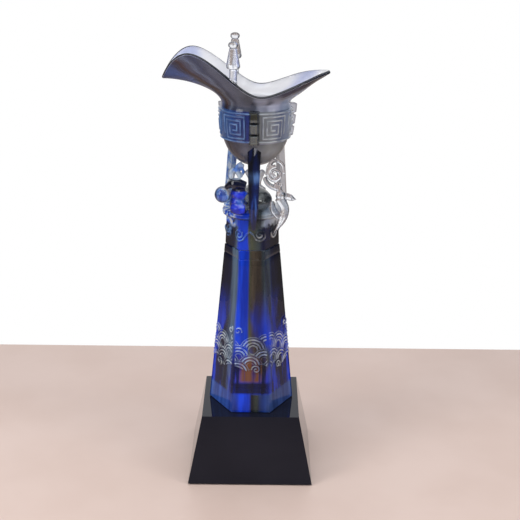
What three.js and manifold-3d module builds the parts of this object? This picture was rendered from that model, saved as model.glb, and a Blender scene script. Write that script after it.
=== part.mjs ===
// Column trophy: a cast-glass wine vessel with three legs, on a hexagonal glass column and a black base.
// Millimetres, +Z up. The origin is the centre of the underside.
// The spout points to -X and the front is -Y.
import * as THREE from "three";
import { ParametricGeometry } from "three/addons/geometries/ParametricGeometry.js";
import { mergeVertices } from "three/addons/utils/BufferGeometryUtils.js";
import Module from "manifold-3d";

// ---- Driving dimensions ----
const PAD_THICKNESS = 1; // felt sheet under the base
const PAD_INSET = 2;
const BASE_BOTTOM = 90; // square sides of the black base
const BASE_TOP = 70;
const BASE_HEIGHT = 49;
const FILM = 0.3; // cured adhesive film
const FILM_INSET = 1; // from the glass's edge in to the film's
const GAP = 0.3; // clearance where one casting is cut round another
const FINEST = 0.05; // slivers smaller than this are dropped after a cut

const COLUMN_FOOT_RADIUS = 30.6; // half the width, to the hexagon's side corners
const COLUMN_HEAD_RADIUS = 19.4;
const COLUMN_HEIGHT = 120;
const FACES = 6;
const FRONT_SHARE = 0.465; // width of the front and back faces over the column's
const DEPTH_SHARE = 0.93; // depth of the column over its width

const WAVE_RADIUS = 7.5; // overlapping wave discs cut on the column
const WAVE_PROUD = 1.1;
const WAVE_ROWS = 4;
const WAVE_START = 34; // from the column's foot to the first row's middles
const WAVE_PITCH = 6.4;
const CURL_RADIUS = 3.6; // a breaking curl under the waves of each face
const CURL_PROUD = 1.43;
const WAVE_SIDES = 14;

const COLLAR_HEIGHT = 27;
const COLLAR_HEAD_RADIUS = 18.4; // half the width under its rim, further along the column's taper
const COLLAR_RIM_RADIUS = 21.4;
const COLLAR_RIM_HEIGHT = 4.4;
const CLOUD_COUNT = 8; // spiral clouds round the collar
const CLOUD_TURN = -118; // degrees: the first one, left of the front
const CLOUD_RADIUS = 4.4;
const CLOUD_LINE = 1; // half the width of a spiral's line
const CLOUD_WINDING = 1.6; // turns of a spiral
const CLOUD_LIFT = 0.42; // share of the collar's height

const ORB_RADIUS = 14;
const ORB_HEIGHT = 14;
const ORB_CUT = 32; // degrees below its equator where it's cut flat

const VESSEL_SHIFT = 1.7; // the cup and its legs stand this far to +X of the column's axis
const BOWL_LIFT = 30.7; // from the collar's top to the bottom of the bowl
const BOWL_RADIUS = 22.4; // where the bowl's round bottom meets the band
const BAND_RADIUS = 25.2;
const BAND_FOOT = 19.5; // above the bottom of the bowl
const BAND_HEIGHT = 21.5;
const BAND_TAPER = 1.6; // how much narrower the band is at its foot
const THROAT_RADIUS = 23.8;
const THROAT_LIFT = 44; // above the bottom of the bowl
const BOWL_FLOOR = 6; // glass under the cavity
const WALL = 3.6; // of the bowl
const LIP = 2.4; // of the mouth at its rim

const SPOUT_REACH = 64; // from the axis to each tip of the mouth
const TAIL_REACH = 51.6;
const MOUTH_HALF_WIDTH = 29.3;
const SPOUT_TIP_LIFT = 13.4; // heights above the throat
const SPOUT_CREST_LIFT = 34.4;
const SADDLE_LIFT = 6.4;
const TAIL_TIP_LIFT = 20;
const TAIL_RISE = 32; // degrees at which the mouth's wall arrives at the tail's tip
const SIDE_RISE = 64; // and at its sides; at the spout's tip it arrives level
const UNDER_ROWS = 7; // rows of points up the bowl's outside: its bottom, the band and the flare
const BAND_ROWS = 4;
const FLARE_ROWS = 8;
const BOWL_SLICES = 48; // points round the bowl

const LEG_TURNS = [-92, 25, 145]; // degrees: the front leg, the right one and the left one
const LEG_TOP_RADIUS = 19.2; // of a leg's centre line
const LEG_STANCE = 3.2; // from the collar's rim out to a foot's centre line
const LEG_TOP_HALF_WIDTH = 4.7;
const LEG_FOOT_HALF_WIDTH = 2.8;
const LEG_DEPTH = 2.9; // half of it, along the radius
const LEG_DROP = 10; // how far a foot hangs over the collar's edge
const LEG_ROWS = 9; // rows of points up a leg
const LEG_SIDES = 5;

const FLANGE_WIDTH = 7;
const FLANGE_PROUD = 5.8; // beyond the band
const FLANGE_TEETH = 3;
const FLANGE_NOTCH = 1.9;

const MEANDER_LINE = 1.2;
const MEANDER_PROUD = 0.8;
const MEANDER_WIDTH = 17;
const MEANDER_HEIGHT = 15;
const MEANDER_PITCH = 2.76; // from one turn of a square spiral to the next

const POST_PLACE = -15; // along X from the axis
const POST_HEIGHT = 24.2; // stem and bell
const POST_STEM_HEIGHT = 11;
const POST_STEM_RADIUS = 2.6;
const POST_BELL_RADIUS = 4.8;
const POST_NECK_RADIUS = 2.6;
const CAP_RADIUS = 3.4;
const CAP_HEIGHT = 4.4;

const PEARL_RADIUS = 5.9;
const PEARL_PLACE = [-20.6, -12.4, 12]; // x, y and height above the collar's top

// ---- Levels, from the floor up ----
const baseFloor = PAD_THICKNESS;
const baseTop = baseFloor + BASE_HEIGHT;
const columnFoot = baseTop + FILM;
const columnHead = columnFoot + COLUMN_HEIGHT;
const collarFoot = columnHead + FILM;
const deck = collarFoot + COLLAR_HEIGHT; // the legs stand on it
const bowlFoot = deck + BOWL_LIFT;
const bandFoot = bowlFoot + BAND_FOOT;
const throat = bowlFoot + THROAT_LIFT;

const wasm = await Module();
wasm.setup();

// ---- Helpers ----
const radians = THREE.MathUtils.degToRad;
const mix = THREE.MathUtils.lerp;
const smooth = (t) => THREE.MathUtils.smoothstep(t, 0, 1);

function solid(geometry) {
  const bare = geometry.index ? geometry.toNonIndexed() : geometry.clone();
  for (const name of Object.keys(bare.attributes)) {
    if (name !== "position") bare.deleteAttribute(name);
  }
  const merged = mergeVertices(bare, 1e-4);
  return new wasm.Manifold(
    new wasm.Mesh({
      numProp: 3,
      vertProperties: merged.attributes.position.array,
      triVerts: new Uint32Array(merged.index.array),
    }),
  );
}

function geometryOf(manifold) {
  const mesh = manifold.simplify(FINEST).getMesh();
  return new THREE.BufferGeometry()
    .setAttribute("position", new THREE.BufferAttribute(mesh.vertProperties, 3))
    .setIndex(new THREE.BufferAttribute(mesh.triVerts, 1));
}

const union = (solids) => solids.reduce((all, next) => all.add(next));
const shifted = (made) => made.translate([VESSEL_SHIFT, 0, 0]);

// A closed loft. ringPoint(turn, row, target) gives a point; the first and last rows close on their middles.
function loft(ringPoint, sides, rows) {
  const middle = (row, target) => {
    target.set(0, 0, 0);
    const point = new THREE.Vector3();
    for (let i = 0; i < sides; i++) {
      ringPoint(i / sides, row, point);
      target.addScaledVector(point, 1 / sides);
    }
  };
  const last = rows - 1;
  return new ParametricGeometry(
    (u, v, target) => {
      const row = Math.round(v * (last + 2)) - 1;
      if (row < 0 || row > last) middle(THREE.MathUtils.clamp(row, 0, last), target);
      else ringPoint(u % 1, row, target);
    },
    sides,
    last + 2,
  );
}

// A round tube along a curve, with radiusAt(share of its length).
function tube(curve, radiusAt, steps, sides = 7) {
  const frames = curve.computeFrenetFrames(steps, false);
  return loft(
    (turn, row, target) => {
      const angle = turn * 2 * Math.PI;
      const radius = radiusAt(row / steps);
      curve.getPointAt(row / steps, target);
      target.addScaledVector(frames.normals[row], Math.cos(angle) * radius);
      target.addScaledVector(frames.binormals[row], Math.sin(angle) * radius);
    },
    sides,
    steps + 1,
  );
}

// Puts a shape drawn as x right, y up, z outwards on a standing plane that leans in by tilt.
function standing(azimuth, radius, z, tilt = 0) {
  const out = new THREE.Vector3(
    Math.cos(azimuth) * Math.cos(tilt),
    Math.sin(azimuth) * Math.cos(tilt),
    Math.sin(tilt),
  );
  const right = new THREE.Vector3(-Math.sin(azimuth), Math.cos(azimuth), 0);
  const up = out.clone().cross(right);
  return new THREE.Matrix4()
    .makeBasis(right, up, out)
    .setPosition(radius * Math.cos(azimuth), radius * Math.sin(azimuth), z);
}

// Bends a shape drawn as x round, y up, z outwards round the axis: x = 0 lies at azimuth.
function wrapped(geometry, azimuth, radiusAt) {
  const place = geometry.attributes.position;
  for (let i = 0; i < place.count; i++) {
    const height = place.getY(i);
    const angle = azimuth + place.getX(i) / radiusAt(height, azimuth);
    const radius = radiusAt(height, angle) + place.getZ(i);
    place.setXYZ(i, radius * Math.cos(angle), radius * Math.sin(angle), height);
  }
  return geometry;
}

const round = (azimuth, radius, z) =>
  new THREE.Vector3(radius * Math.cos(azimuth), radius * Math.sin(azimuth), z);

function lathe(profile, segments) {
  const points = profile.map(([radius, z]) => new THREE.Vector2(radius, z));
  return new THREE.LatheGeometry(points, segments).rotateX(Math.PI / 2);
}

// ---- Materials ----
const glass = (color) =>
  new THREE.MeshStandardMaterial({ color, roughness: 0.05, metalness: 0, transparent: true, opacity: 0.6 });
const materials = {
  felt: new THREE.MeshStandardMaterial({ color: 0x15161a, roughness: 0.95, metalness: 0 }),
  black: new THREE.MeshStandardMaterial({ color: 0x0b0d16, roughness: 0.06, metalness: 0 }),
  film: glass(0xe6ebf0),
  column: glass(0x1c3fd0),
  collar: glass(0x2a4ccf),
  leg: glass(0x10256f),
  bowl: glass(0x7a808c),
  clear: glass(0xd6dce6),
  scroll: glass(0x3a63dd),
};

const trophy = new THREE.Group();

function add(name, shape, material) {
  const geometry = shape.isBufferGeometry ? shape : geometryOf(shape);
  const mesh = new THREE.Mesh(geometry, material);
  mesh.name = name;
  trophy.add(mesh);
}

// ---- Base ----
// A square frustum is a four-sided cylinder turned by half a side.
function squareFrustum(bottom, top, height, z) {
  return new THREE.CylinderGeometry(top / Math.SQRT2, bottom / Math.SQRT2, height, 4)
    .rotateY(Math.PI / 4)
    .rotateX(Math.PI / 2)
    .translate(0, 0, z + height / 2);
}

// A hexagon with a corner at each side. Its front and back corners are moved to the front face's width.
const cornerShare = Math.sin(Math.PI / 3);

function hexagon(bottom, top, height, z) {
  const prism = new THREE.CylinderGeometry(top, bottom, height, FACES)
    .rotateY(Math.PI / 2)
    .rotateX(Math.PI / 2)
    .translate(0, 0, z + height / 2);
  const place = prism.attributes.position;
  for (let i = 0; i < place.count; i++) {
    if (Math.abs(place.getY(i)) < 0.1) continue;
    place.setX(i, place.getX(i) * 2 * FRONT_SHARE);
    place.setY(i, (place.getY(i) * DEPTH_SHARE) / cornerShare);
  }
  return prism;
}

const hexagonFilm = (radius, z) => hexagon(radius - FILM_INSET, radius - FILM_INSET, FILM, z);

const padSide = BASE_BOTTOM - 2 * PAD_INSET;
add("felt_pad", squareFrustum(padSide, padSide, PAD_THICKNESS, 0), materials.felt);
add("base_block", squareFrustum(BASE_BOTTOM, BASE_TOP, BASE_HEIGHT, baseFloor), materials.black);
add("base_adhesive", hexagonFilm(COLUMN_FOOT_RADIUS, baseTop), materials.film);

// ---- Column, with rows of overlapping wave discs on its faces ----
const columnRadius = (z) =>
  mix(COLUMN_FOOT_RADIUS, COLUMN_HEAD_RADIUS, (z - columnFoot) / COLUMN_HEIGHT);

// Each face's azimuth, and its distance from the axis over half the column's width.
const sideTurn = Math.atan((1 - FRONT_SHARE) / DEPTH_SHARE);
const sideShare = Math.cos(sideTurn);
const faces = [
  { azimuth: -Math.PI / 2, share: DEPTH_SHARE },
  { azimuth: -sideTurn, share: sideShare },
  { azimuth: sideTurn, share: sideShare },
  { azimuth: Math.PI / 2, share: DEPTH_SHARE },
  { azimuth: Math.PI - sideTurn, share: sideShare },
  { azimuth: Math.PI + sideTurn, share: sideShare },
];

// How far the hexagon reaches along an azimuth, over half its width.
const hexagonShare = (azimuth) =>
  Math.min(...faces.map((face) => face.share / Math.max(Math.cos(azimuth - face.azimuth), 0.1)));

function waveDisc({ azimuth, share }, z, across, radius, proud) {
  const tilt = Math.atan(((COLUMN_FOOT_RADIUS - COLUMN_HEAD_RADIUS) * share) / COLUMN_HEIGHT);
  const disc = new THREE.CylinderGeometry(radius, radius, 2 * proud, WAVE_SIDES)
    .rotateX(Math.PI / 2)
    .translate(across, 0, 0);
  return solid(disc.applyMatrix4(standing(azimuth, columnRadius(z) * share, z, tilt)));
}

const waves = [];
for (const face of faces) {
  for (let row = 0; row < WAVE_ROWS; row++) {
    const z = columnFoot + WAVE_START + row * WAVE_PITCH;
    const proud = WAVE_PROUD * (1 - 0.2 * row);
    const places = row % 2 ? [0.1] : [-0.95, 1.05];
    for (const place of places) {
      waves.push(waveDisc(face, z, place * WAVE_RADIUS, WAVE_RADIUS, proud));
    }
  }
  const curlZ = columnFoot + WAVE_START - 0.3 * WAVE_RADIUS;
  waves.push(waveDisc(face, curlZ, 0.5 * WAVE_RADIUS, CURL_RADIUS, CURL_PROUD));
}
const shaft = solid(hexagon(COLUMN_FOOT_RADIUS, COLUMN_HEAD_RADIUS, COLUMN_HEIGHT, columnFoot));
// The discs' ends are trimmed to a hexagon that is just prouder than they are.
const trimProud = Math.max(1.4 * WAVE_PROUD, CURL_PROUD) / cornerShare;
const waveTrim = solid(
  hexagon(COLUMN_FOOT_RADIUS + trimProud, COLUMN_HEAD_RADIUS + trimProud, COLUMN_HEIGHT, columnFoot),
);
add("column", shaft.add(union(waves).intersect(waveTrim)), materials.column);

// ---- Collar, with spiral clouds round it ----
add("collar_adhesive", hexagonFilm(COLUMN_HEAD_RADIUS, columnHead), materials.film);

// A spiral in its own plane, opening from its middle.
function spiral(middleX, middleY, radius, turns, start, hand, depth = 0) {
  const points = [];
  const steps = Math.ceil(turns * 10);
  for (let i = 0; i <= steps; i++) {
    const share = i / steps;
    const angle = start + hand * share * turns * 2 * Math.PI;
    const reach = radius * mix(0.18, 1, share);
    points.push(
      new THREE.Vector3(middleX + reach * Math.cos(angle), middleY + reach * Math.sin(angle), depth),
    );
  }
  return points;
}

const rimFoot = deck - COLLAR_RIM_HEIGHT;
const collarRadius = (z) =>
  mix(COLUMN_HEAD_RADIUS, COLLAR_HEAD_RADIUS, (z - collarFoot) / COLLAR_HEIGHT);
const cloudMiddle = collarFoot + CLOUD_LIFT * COLLAR_HEIGHT;
const clouds = [];
for (let cloud = 0; cloud < CLOUD_COUNT; cloud++) {
  const hand = cloud % 2 ? -1 : 1;
  const line = new THREE.CatmullRomCurve3(
    spiral(0, cloudMiddle, CLOUD_RADIUS, CLOUD_WINDING, radians(90), hand, -0.2 * CLOUD_LINE),
  );
  const azimuth = radians(CLOUD_TURN) + (cloud * 2 * Math.PI) / CLOUD_COUNT;
  const shape = tube(line, () => CLOUD_LINE, 18, 5);
  clouds.push(solid(wrapped(shape, azimuth, (z, angle) => hexagonShare(angle) * collarRadius(z))));
}
const collarBody = hexagon(COLUMN_HEAD_RADIUS, COLLAR_HEAD_RADIUS, COLLAR_HEIGHT - 1, collarFoot);
const collarRim = lathe(
  [
    [0, rimFoot - 2],
    [COLLAR_HEAD_RADIUS - 2, rimFoot - 2],
    [COLLAR_RIM_RADIUS - 0.6, rimFoot + 0.4],
    [COLLAR_RIM_RADIUS, rimFoot + 1.8],
    [COLLAR_RIM_RADIUS, deck - 1],
    [COLLAR_RIM_RADIUS - 0.8, deck],
    [0, deck],
  ],
  24,
);
add("collar", union([solid(collarBody), solid(collarRim), ...clouds]), materials.collar);

// ---- Bowl and mouth ----
// Half of the rim, from the spout's tip to the tail's, as [x, y, height above the throat].
const rimHalf = [
  [-SPOUT_REACH, 0, SPOUT_TIP_LIFT],
  [-0.956 * SPOUT_REACH, 0.26 * MOUTH_HALF_WIDTH, mix(SPOUT_TIP_LIFT, SPOUT_CREST_LIFT, 0.36)],
  [-0.87 * SPOUT_REACH, 0.48 * MOUTH_HALF_WIDTH, mix(SPOUT_TIP_LIFT, SPOUT_CREST_LIFT, 0.74)],
  [-0.765 * SPOUT_REACH, 0.65 * MOUTH_HALF_WIDTH, SPOUT_CREST_LIFT - 0.6],
  [-0.63 * SPOUT_REACH, 0.745 * MOUTH_HALF_WIDTH, SPOUT_CREST_LIFT - 0.6],
  [-0.45 * SPOUT_REACH, 0.8 * MOUTH_HALF_WIDTH, mix(SADDLE_LIFT, SPOUT_CREST_LIFT, 0.72)],
  [-0.25 * SPOUT_REACH, 0.88 * MOUTH_HALF_WIDTH, mix(SADDLE_LIFT, SPOUT_CREST_LIFT, 0.35)],
  [-0.062 * SPOUT_REACH, 0.97 * MOUTH_HALF_WIDTH, mix(SADDLE_LIFT, SPOUT_CREST_LIFT, 0.05)],
  [0.12 * TAIL_REACH, MOUTH_HALF_WIDTH, SADDLE_LIFT],
  [0.36 * TAIL_REACH, 0.94 * MOUTH_HALF_WIDTH, mix(SADDLE_LIFT, TAIL_TIP_LIFT, 0.31)],
  [0.6 * TAIL_REACH, 0.82 * MOUTH_HALF_WIDTH, mix(SADDLE_LIFT, TAIL_TIP_LIFT, 0.67)],
  [0.77 * TAIL_REACH, 0.52 * MOUTH_HALF_WIDTH, mix(SADDLE_LIFT, TAIL_TIP_LIFT, 0.86)],
  [0.9 * TAIL_REACH, 0.24 * MOUTH_HALF_WIDTH, mix(SADDLE_LIFT, TAIL_TIP_LIFT, 0.97)],
  [TAIL_REACH, 0, TAIL_TIP_LIFT],
];
const nearHalf = rimHalf.map(([x, y, z]) => [x, -y, z]);
const farHalf = rimHalf.slice(1, -1).reverse();
const rimLine = new THREE.CatmullRomCurve3(
  [...nearHalf, ...farHalf].map(([x, y, z]) => new THREE.Vector3(x, y, throat + z)),
  true,
);

// The bowl's outline below the throat as [radius, height above its bottom].
const underside = new THREE.SplineCurve(
  [
    [0, 0],
    [0.34 * BOWL_RADIUS, 0.06 * BAND_FOOT],
    [0.6 * BOWL_RADIUS, 0.24 * BAND_FOOT],
    [0.83 * BOWL_RADIUS, 0.54 * BAND_FOOT],
    [0.96 * BOWL_RADIUS, 0.84 * BAND_FOOT],
    [BOWL_RADIUS, BAND_FOOT],
  ].map(([radius, z]) => new THREE.Vector2(radius, z)),
);
const bandRadius = (z) => BAND_RADIUS - BAND_TAPER * ((bandFoot + BAND_HEIGHT - z) / BAND_HEIGHT) ** 2;

// One outer row is a radius and height below the throat, and a share of the flare above it.
const outerRows = [];
for (let i = 0; i < UNDER_ROWS; i++) {
  const { x, y } = underside.getPoint(i / (UNDER_ROWS - 1));
  outerRows.push({ radius: x, z: bowlFoot + y });
}
for (let i = 0; i < BAND_ROWS; i++) {
  const z = bandFoot + 0.6 + ((BAND_HEIGHT - 1.2) * i) / (BAND_ROWS - 1);
  outerRows.push({ radius: bandRadius(z), z });
}
outerRows.push({ radius: THROAT_RADIUS + 0.1, z: bandFoot + BAND_HEIGHT });
for (let i = 0; i < FLARE_ROWS; i++) outerRows.push({ flare: i / (FLARE_ROWS - 1) });

// A line of the flare leaves the throat upwards and reaches the rim outwards.
function flarePoint(turn, share, target) {
  const end = rimLine.getPoint(turn);
  const azimuth = Math.atan2(end.y, end.x);
  const start = round(azimuth, THROAT_RADIUS, throat);
  const tipRise = end.x < 0 ? 0 : TAIL_RISE;
  const rise = radians(mix(tipRise, SIDE_RISE, smooth(Math.abs(end.y) / (0.8 * MOUTH_HALF_WIDTH))));
  const reach = start.distanceTo(end);
  const arrival = round(azimuth, Math.cos(rise), Math.sin(rise));
  const leave = start.clone().setZ(throat + 0.16 * reach);
  const arrive = end.clone().addScaledVector(arrival, -0.46 * reach);
  return new THREE.CubicBezierCurve3(start, leave, arrive, end).getPoint(share, target);
}

function outerPoint(turn, row, target) {
  const { radius, z, flare } = outerRows[row];
  if (flare !== undefined) return flarePoint(turn, flare, target);
  const end = rimLine.getPoint(turn);
  return target.copy(round(Math.atan2(end.y, end.x), radius, z));
}

// Outward normal of the flare, from its neighbours on both sides.
function flareNormal(turn, share) {
  const step = 1e-3;
  const points = [
    [turn - step, share],
    [turn + step, share],
    [turn, Math.max(share - step, 0)],
    [turn, Math.min(share + step, 1)],
  ].map(([t, s]) => flarePoint((t + 1) % 1, s, new THREE.Vector3()));
  const along = points[1].sub(points[0]);
  const up = points[3].sub(points[2]);
  return along.cross(up).normalize();
}

// The wall thins from the throat to the rim.
const wallAt = (share) => mix(WALL, LIP, smooth(share * 1.6));
const innerRows = [];
for (let i = FLARE_ROWS - 1; i >= 0; i--) innerRows.push({ flare: i / (FLARE_ROWS - 1) });
innerRows.push({ radius: BOWL_RADIUS - WALL + 0.6, z: bandFoot + BAND_HEIGHT * 0.4 });
innerRows.push({ radius: BOWL_RADIUS - WALL - 1.2, z: bandFoot });
innerRows.push({ radius: 0.66 * BOWL_RADIUS, z: bowlFoot + BOWL_FLOOR + 4.4 });
innerRows.push({ radius: 0.36 * BOWL_RADIUS, z: bowlFoot + BOWL_FLOOR + 0.9 });

function innerPoint(turn, row, target) {
  const { radius, z, flare } = innerRows[row];
  if (flare === undefined) {
    const end = rimLine.getPoint(turn);
    return target.copy(round(Math.atan2(end.y, end.x), radius, z));
  }
  flarePoint(turn, flare, target);
  return target.addScaledVector(flareNormal(turn, flare), -wallAt(flare));
}

// The rim's crown, a third of a lip beyond the line and in the middle of the wall.
function crownPoint(turn, target) {
  flarePoint(turn, 1, target);
  const below = flarePoint(turn, 0.97, new THREE.Vector3());
  const beyond = target.clone().sub(below).normalize();
  return target.addScaledVector(flareNormal(turn, 1), -LIP / 2).addScaledVector(beyond, LIP / 3);
}

function bowlShell() {
  const outer = outerRows.length;
  const ringPoint = (turn, row, target) => {
    if (row < outer) outerPoint(turn, row, target);
    else if (row === outer) crownPoint(turn, target);
    else innerPoint(turn, row - outer - 1, target);
  };
  return solid(loft(ringPoint, BOWL_SLICES, outer + 1 + innerRows.length));
}

// The same bowl without its cavity and a gap larger, for cutting what stands against its outside.
function bowlWithGap() {
  const profile = outerRows
    .filter(({ flare }) => flare === undefined)
    .map(({ radius, z }, i) => [radius > 0 ? radius + GAP : 0, i < UNDER_ROWS ? z - GAP : z]);
  profile.push([THROAT_RADIUS + GAP, throat + 1], [0, throat + 1]);
  return solid(lathe(profile, BOWL_SLICES));
}

// ---- Meander panels: two square spirals between each pair of flanges ----
// Bars of a square spiral, from the outside in, as [x, y, length, whether it stands].
function meanderBars(hand) {
  const bars = [];
  const pitch = MEANDER_PITCH;
  let halfX = MEANDER_WIDTH / 2;
  let halfY = MEANDER_HEIGHT / 2;
  while (halfY > pitch) {
    bars.push([0, halfY, 2 * halfX, false]);
    bars.push([hand * halfX, 0, 2 * halfY, true]);
    bars.push([(hand * pitch) / 4, -halfY, 2 * halfX - pitch / 2, false]);
    bars.push([-hand * (halfX - pitch / 2), -pitch / 2, 2 * halfY - pitch, true]);
    halfX -= pitch;
    halfY -= pitch;
  }
  return bars;
}

function meander(azimuth, hand) {
  const middle = bandFoot + BAND_HEIGHT / 2;
  const bars = meanderBars(hand).map(([x, y, length, stands]) => {
    const size = length + MEANDER_LINE;
    const [wide, tall] = stands ? [MEANDER_LINE, size] : [size, MEANDER_LINE];
    const cuts = Math.max(1, Math.ceil(wide / 6));
    const bar = new THREE.BoxGeometry(wide, tall, 2 * MEANDER_PROUD, cuts, stands ? 2 : 1, 1);
    return solid(wrapped(bar.translate(x, middle + y, 0), azimuth, bandRadius));
  });
  return union(bars);
}

const panels = [];
LEG_TURNS.forEach((turn, leg) => {
  const next = leg + 1 < LEG_TURNS.length ? LEG_TURNS[leg + 1] : LEG_TURNS[0] + 360;
  const quarter = (radians(next - turn) - FLANGE_WIDTH / BAND_RADIUS) / 4;
  const middle = radians((turn + next) / 2);
  for (const hand of [-1, 1]) panels.push(meander(middle + hand * quarter, hand));
});
add("cup_bowl", shifted(bowlShell().add(union(panels))), materials.bowl);
const bowlCutter = shifted(bowlWithGap());

// ---- Legs: ridged blades from under the bowl to the collar ----
const legTop = bandFoot - 1;

// The feet stand round the collar, and the tops round the cup's own axis.
function legRing(azimuth, grow, turn, row, target) {
  const share = row / (LEG_ROWS - 1);
  const footRadius = COLLAR_RIM_RADIUS + LEG_STANCE - VESSEL_SHIFT * Math.cos(azimuth);
  const middle = mix(footRadius, LEG_TOP_RADIUS, share);
  const foot = smooth(4 * share);
  const half = mix(0.5, 1, foot) * mix(LEG_FOOT_HALF_WIDTH, LEG_TOP_HALF_WIDTH, share) + grow;
  const depth = mix(0.6, 1, foot) * LEG_DEPTH + grow;
  const section = [
    [0, depth],
    [half, 0.1 * depth],
    [0.7 * half, -depth],
    [-0.7 * half, -depth],
    [-half, 0.1 * depth],
  ];
  const [across, out] = section[Math.round(turn * LEG_SIDES) % LEG_SIDES];
  const radius = middle + out;
  target.set(
    radius * Math.cos(azimuth) - across * Math.sin(azimuth),
    radius * Math.sin(azimuth) + across * Math.cos(azimuth),
    mix(deck - LEG_DROP, legTop, share),
  );
}

const legBlank = (leg, grow) => {
  const azimuth = radians(LEG_TURNS[leg]);
  const ringPoint = (turn, row, target) => legRing(azimuth, grow, turn, row, target);
  return shifted(solid(loft(ringPoint, LEG_SIDES, LEG_ROWS)));
};
const SIDES = ["front", "right", "left"];
const collarCutter = solid(
  lathe(
    [
      [0, collarFoot],
      [COLLAR_RIM_RADIUS + GAP, collarFoot],
      [COLLAR_RIM_RADIUS + GAP, deck + GAP],
      [0, deck + GAP],
    ],
    24,
  ),
);
SIDES.forEach((side, leg) => {
  const blade = legBlank(leg, 0).subtract(bowlCutter).subtract(collarCutter);
  add(`leg_${side}`, blade, materials.leg);
});

// ---- Flanges: toothed ridges on the band, one above each leg ----
const flangeFoot = bandFoot - 1.5;
const flangeTooth = (BAND_HEIGHT + 3) / FLANGE_TEETH;

function flange(leg) {
  const outline = new THREE.Shape();
  outline.moveTo(BOWL_RADIUS - 3, flangeFoot);
  for (let tooth = 0; tooth < FLANGE_TEETH; tooth++) {
    const low = flangeFoot + tooth * flangeTooth;
    const high = low + flangeTooth;
    const proud = FLANGE_PROUD * mix(0.72, 1, tooth / (FLANGE_TEETH - 1));
    const reach = bandRadius(low) + proud;
    outline.lineTo(reach - FLANGE_NOTCH, low);
    outline.lineTo(reach - FLANGE_NOTCH, low + 1);
    outline.lineTo(reach - 0.5, low + 1.3);
    outline.lineTo(reach, low + 3);
    outline.lineTo(reach, high - 2.4);
    outline.lineTo(reach - 0.9, high - 0.4);
    outline.lineTo(reach - FLANGE_NOTCH, high);
  }
  outline.lineTo(BOWL_RADIUS - 3, flangeFoot + FLANGE_TEETH * flangeTooth);
  const blade = new THREE.ExtrudeGeometry(outline, { depth: FLANGE_WIDTH, bevelEnabled: false })
    .translate(0, 0, -FLANGE_WIDTH / 2)
    .rotateX(Math.PI / 2)
    .rotateZ(radians(LEG_TURNS[leg]));
  return shifted(solid(blade)).subtract(bowlCutter);
}
SIDES.forEach((side, leg) => add(`flange_${side}`, flange(leg), materials.clear));

// ---- Posts on the rim, each with a cap ----
// The rim's point on one side at a place along X.
function rimAt(x, side) {
  let low = 0;
  let high = 0.5;
  for (let i = 0; i < 40; i++) {
    const middle = (low + high) / 2;
    if (rimLine.getPoint(middle).x < x) low = middle;
    else high = middle;
  }
  const point = rimLine.getPoint(low);
  return new THREE.Vector3(point.x, -side * point.y, point.z);
}

// The foot follows the slope of the rim that it stands on, and the stem straightens it out.
function post(foot, side) {
  const crown = 0.72 * LIP + GAP; // the wall leans outwards, so its inner edge is the higher one
  const shape = lathe(
    [
      [0, 0],
      [POST_STEM_RADIUS + 0.4, 0],
      [POST_STEM_RADIUS, 3],
      [POST_STEM_RADIUS, POST_STEM_HEIGHT - 0.6],
      [POST_BELL_RADIUS - 0.5, POST_STEM_HEIGHT],
      [POST_BELL_RADIUS, POST_STEM_HEIGHT + 1.4],
      [0.87 * POST_BELL_RADIUS, POST_STEM_HEIGHT + 4.8],
      [POST_NECK_RADIUS + 0.2, POST_HEIGHT - 1],
      [POST_NECK_RADIUS, POST_HEIGHT],
      [0, POST_HEIGHT],
    ],
    12,
  ).translate(foot.x, foot.y, foot.z);
  const place = shape.attributes.position;
  for (let i = 0; i < place.count; i++) {
    const straight = smooth((place.getZ(i) - foot.z) / 6);
    const under = rimAt(place.getX(i), side).z + crown - foot.z;
    place.setZ(i, place.getZ(i) + (1 - straight) * under);
  }
  return shape.translate(VESSEL_SHIFT, 0, 0);
}

function postCap(foot) {
  return lathe(
    [
      [0, 0],
      [0.62 * CAP_RADIUS, 0],
      [0.93 * CAP_RADIUS, 0.22 * CAP_HEIGHT],
      [CAP_RADIUS, 0.5 * CAP_HEIGHT],
      [0.87 * CAP_RADIUS, 0.78 * CAP_HEIGHT],
      [0.45 * CAP_RADIUS, 0.96 * CAP_HEIGHT],
      [0, CAP_HEIGHT],
    ],
    12,
  ).translate(foot.x + VESSEL_SHIFT, foot.y, foot.z + POST_HEIGHT);
}

for (const [name, side] of [
  ["near", -1],
  ["far", 1],
]) {
  const foot = rimAt(POST_PLACE, side);
  foot.y -= side * (LIP / 2);
  add(`post_${name}`, post(foot, side), materials.clear);
  add(`post_cap_${name}`, postCap(foot), materials.clear);
}

// ---- Orb under the bowl ----
const orbCut = radians(ORB_CUT);
const orbSquash = ORB_HEIGHT / (1 + Math.sin(orbCut));
const orbProfile = (grow) => {
  const points = [[0, 0]];
  for (let i = 0; i <= 8; i++) {
    const angle = mix(-orbCut, Math.PI / 2, i / 8);
    points.push([
      i === 8 ? 0 : (ORB_RADIUS + grow) * Math.cos(angle),
      orbSquash * (Math.sin(angle) + Math.sin(orbCut)) + grow * Math.sin(angle),
    ]);
  }
  points[0][1] = points[1][1];
  return points;
};
const orb = (grow) => lathe(orbProfile(grow), 20).translate(0, 0, deck + GAP);
add("orb", orb(0), materials.scroll);

// ---- Cloud scrolls between the legs ----
// A limb is a tube through points [x, y, height above the collar's top]. thick gives its radii along it.
function limb(path, thick, steps) {
  const points = path.map(([x, y, height]) => new THREE.Vector3(x, y, deck + height));
  const middle = thick.length > 2 ? thick[1] : (thick[0] + thick[1]) / 2;
  const radiusAt = (share) => {
    if (share < 0.5) return mix(thick[0], middle, smooth(2 * share));
    return mix(middle, thick.at(-1), smooth(2 * share - 1));
  };
  return solid(tube(new THREE.CatmullRomCurve3(points), radiusAt, steps));
}

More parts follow.
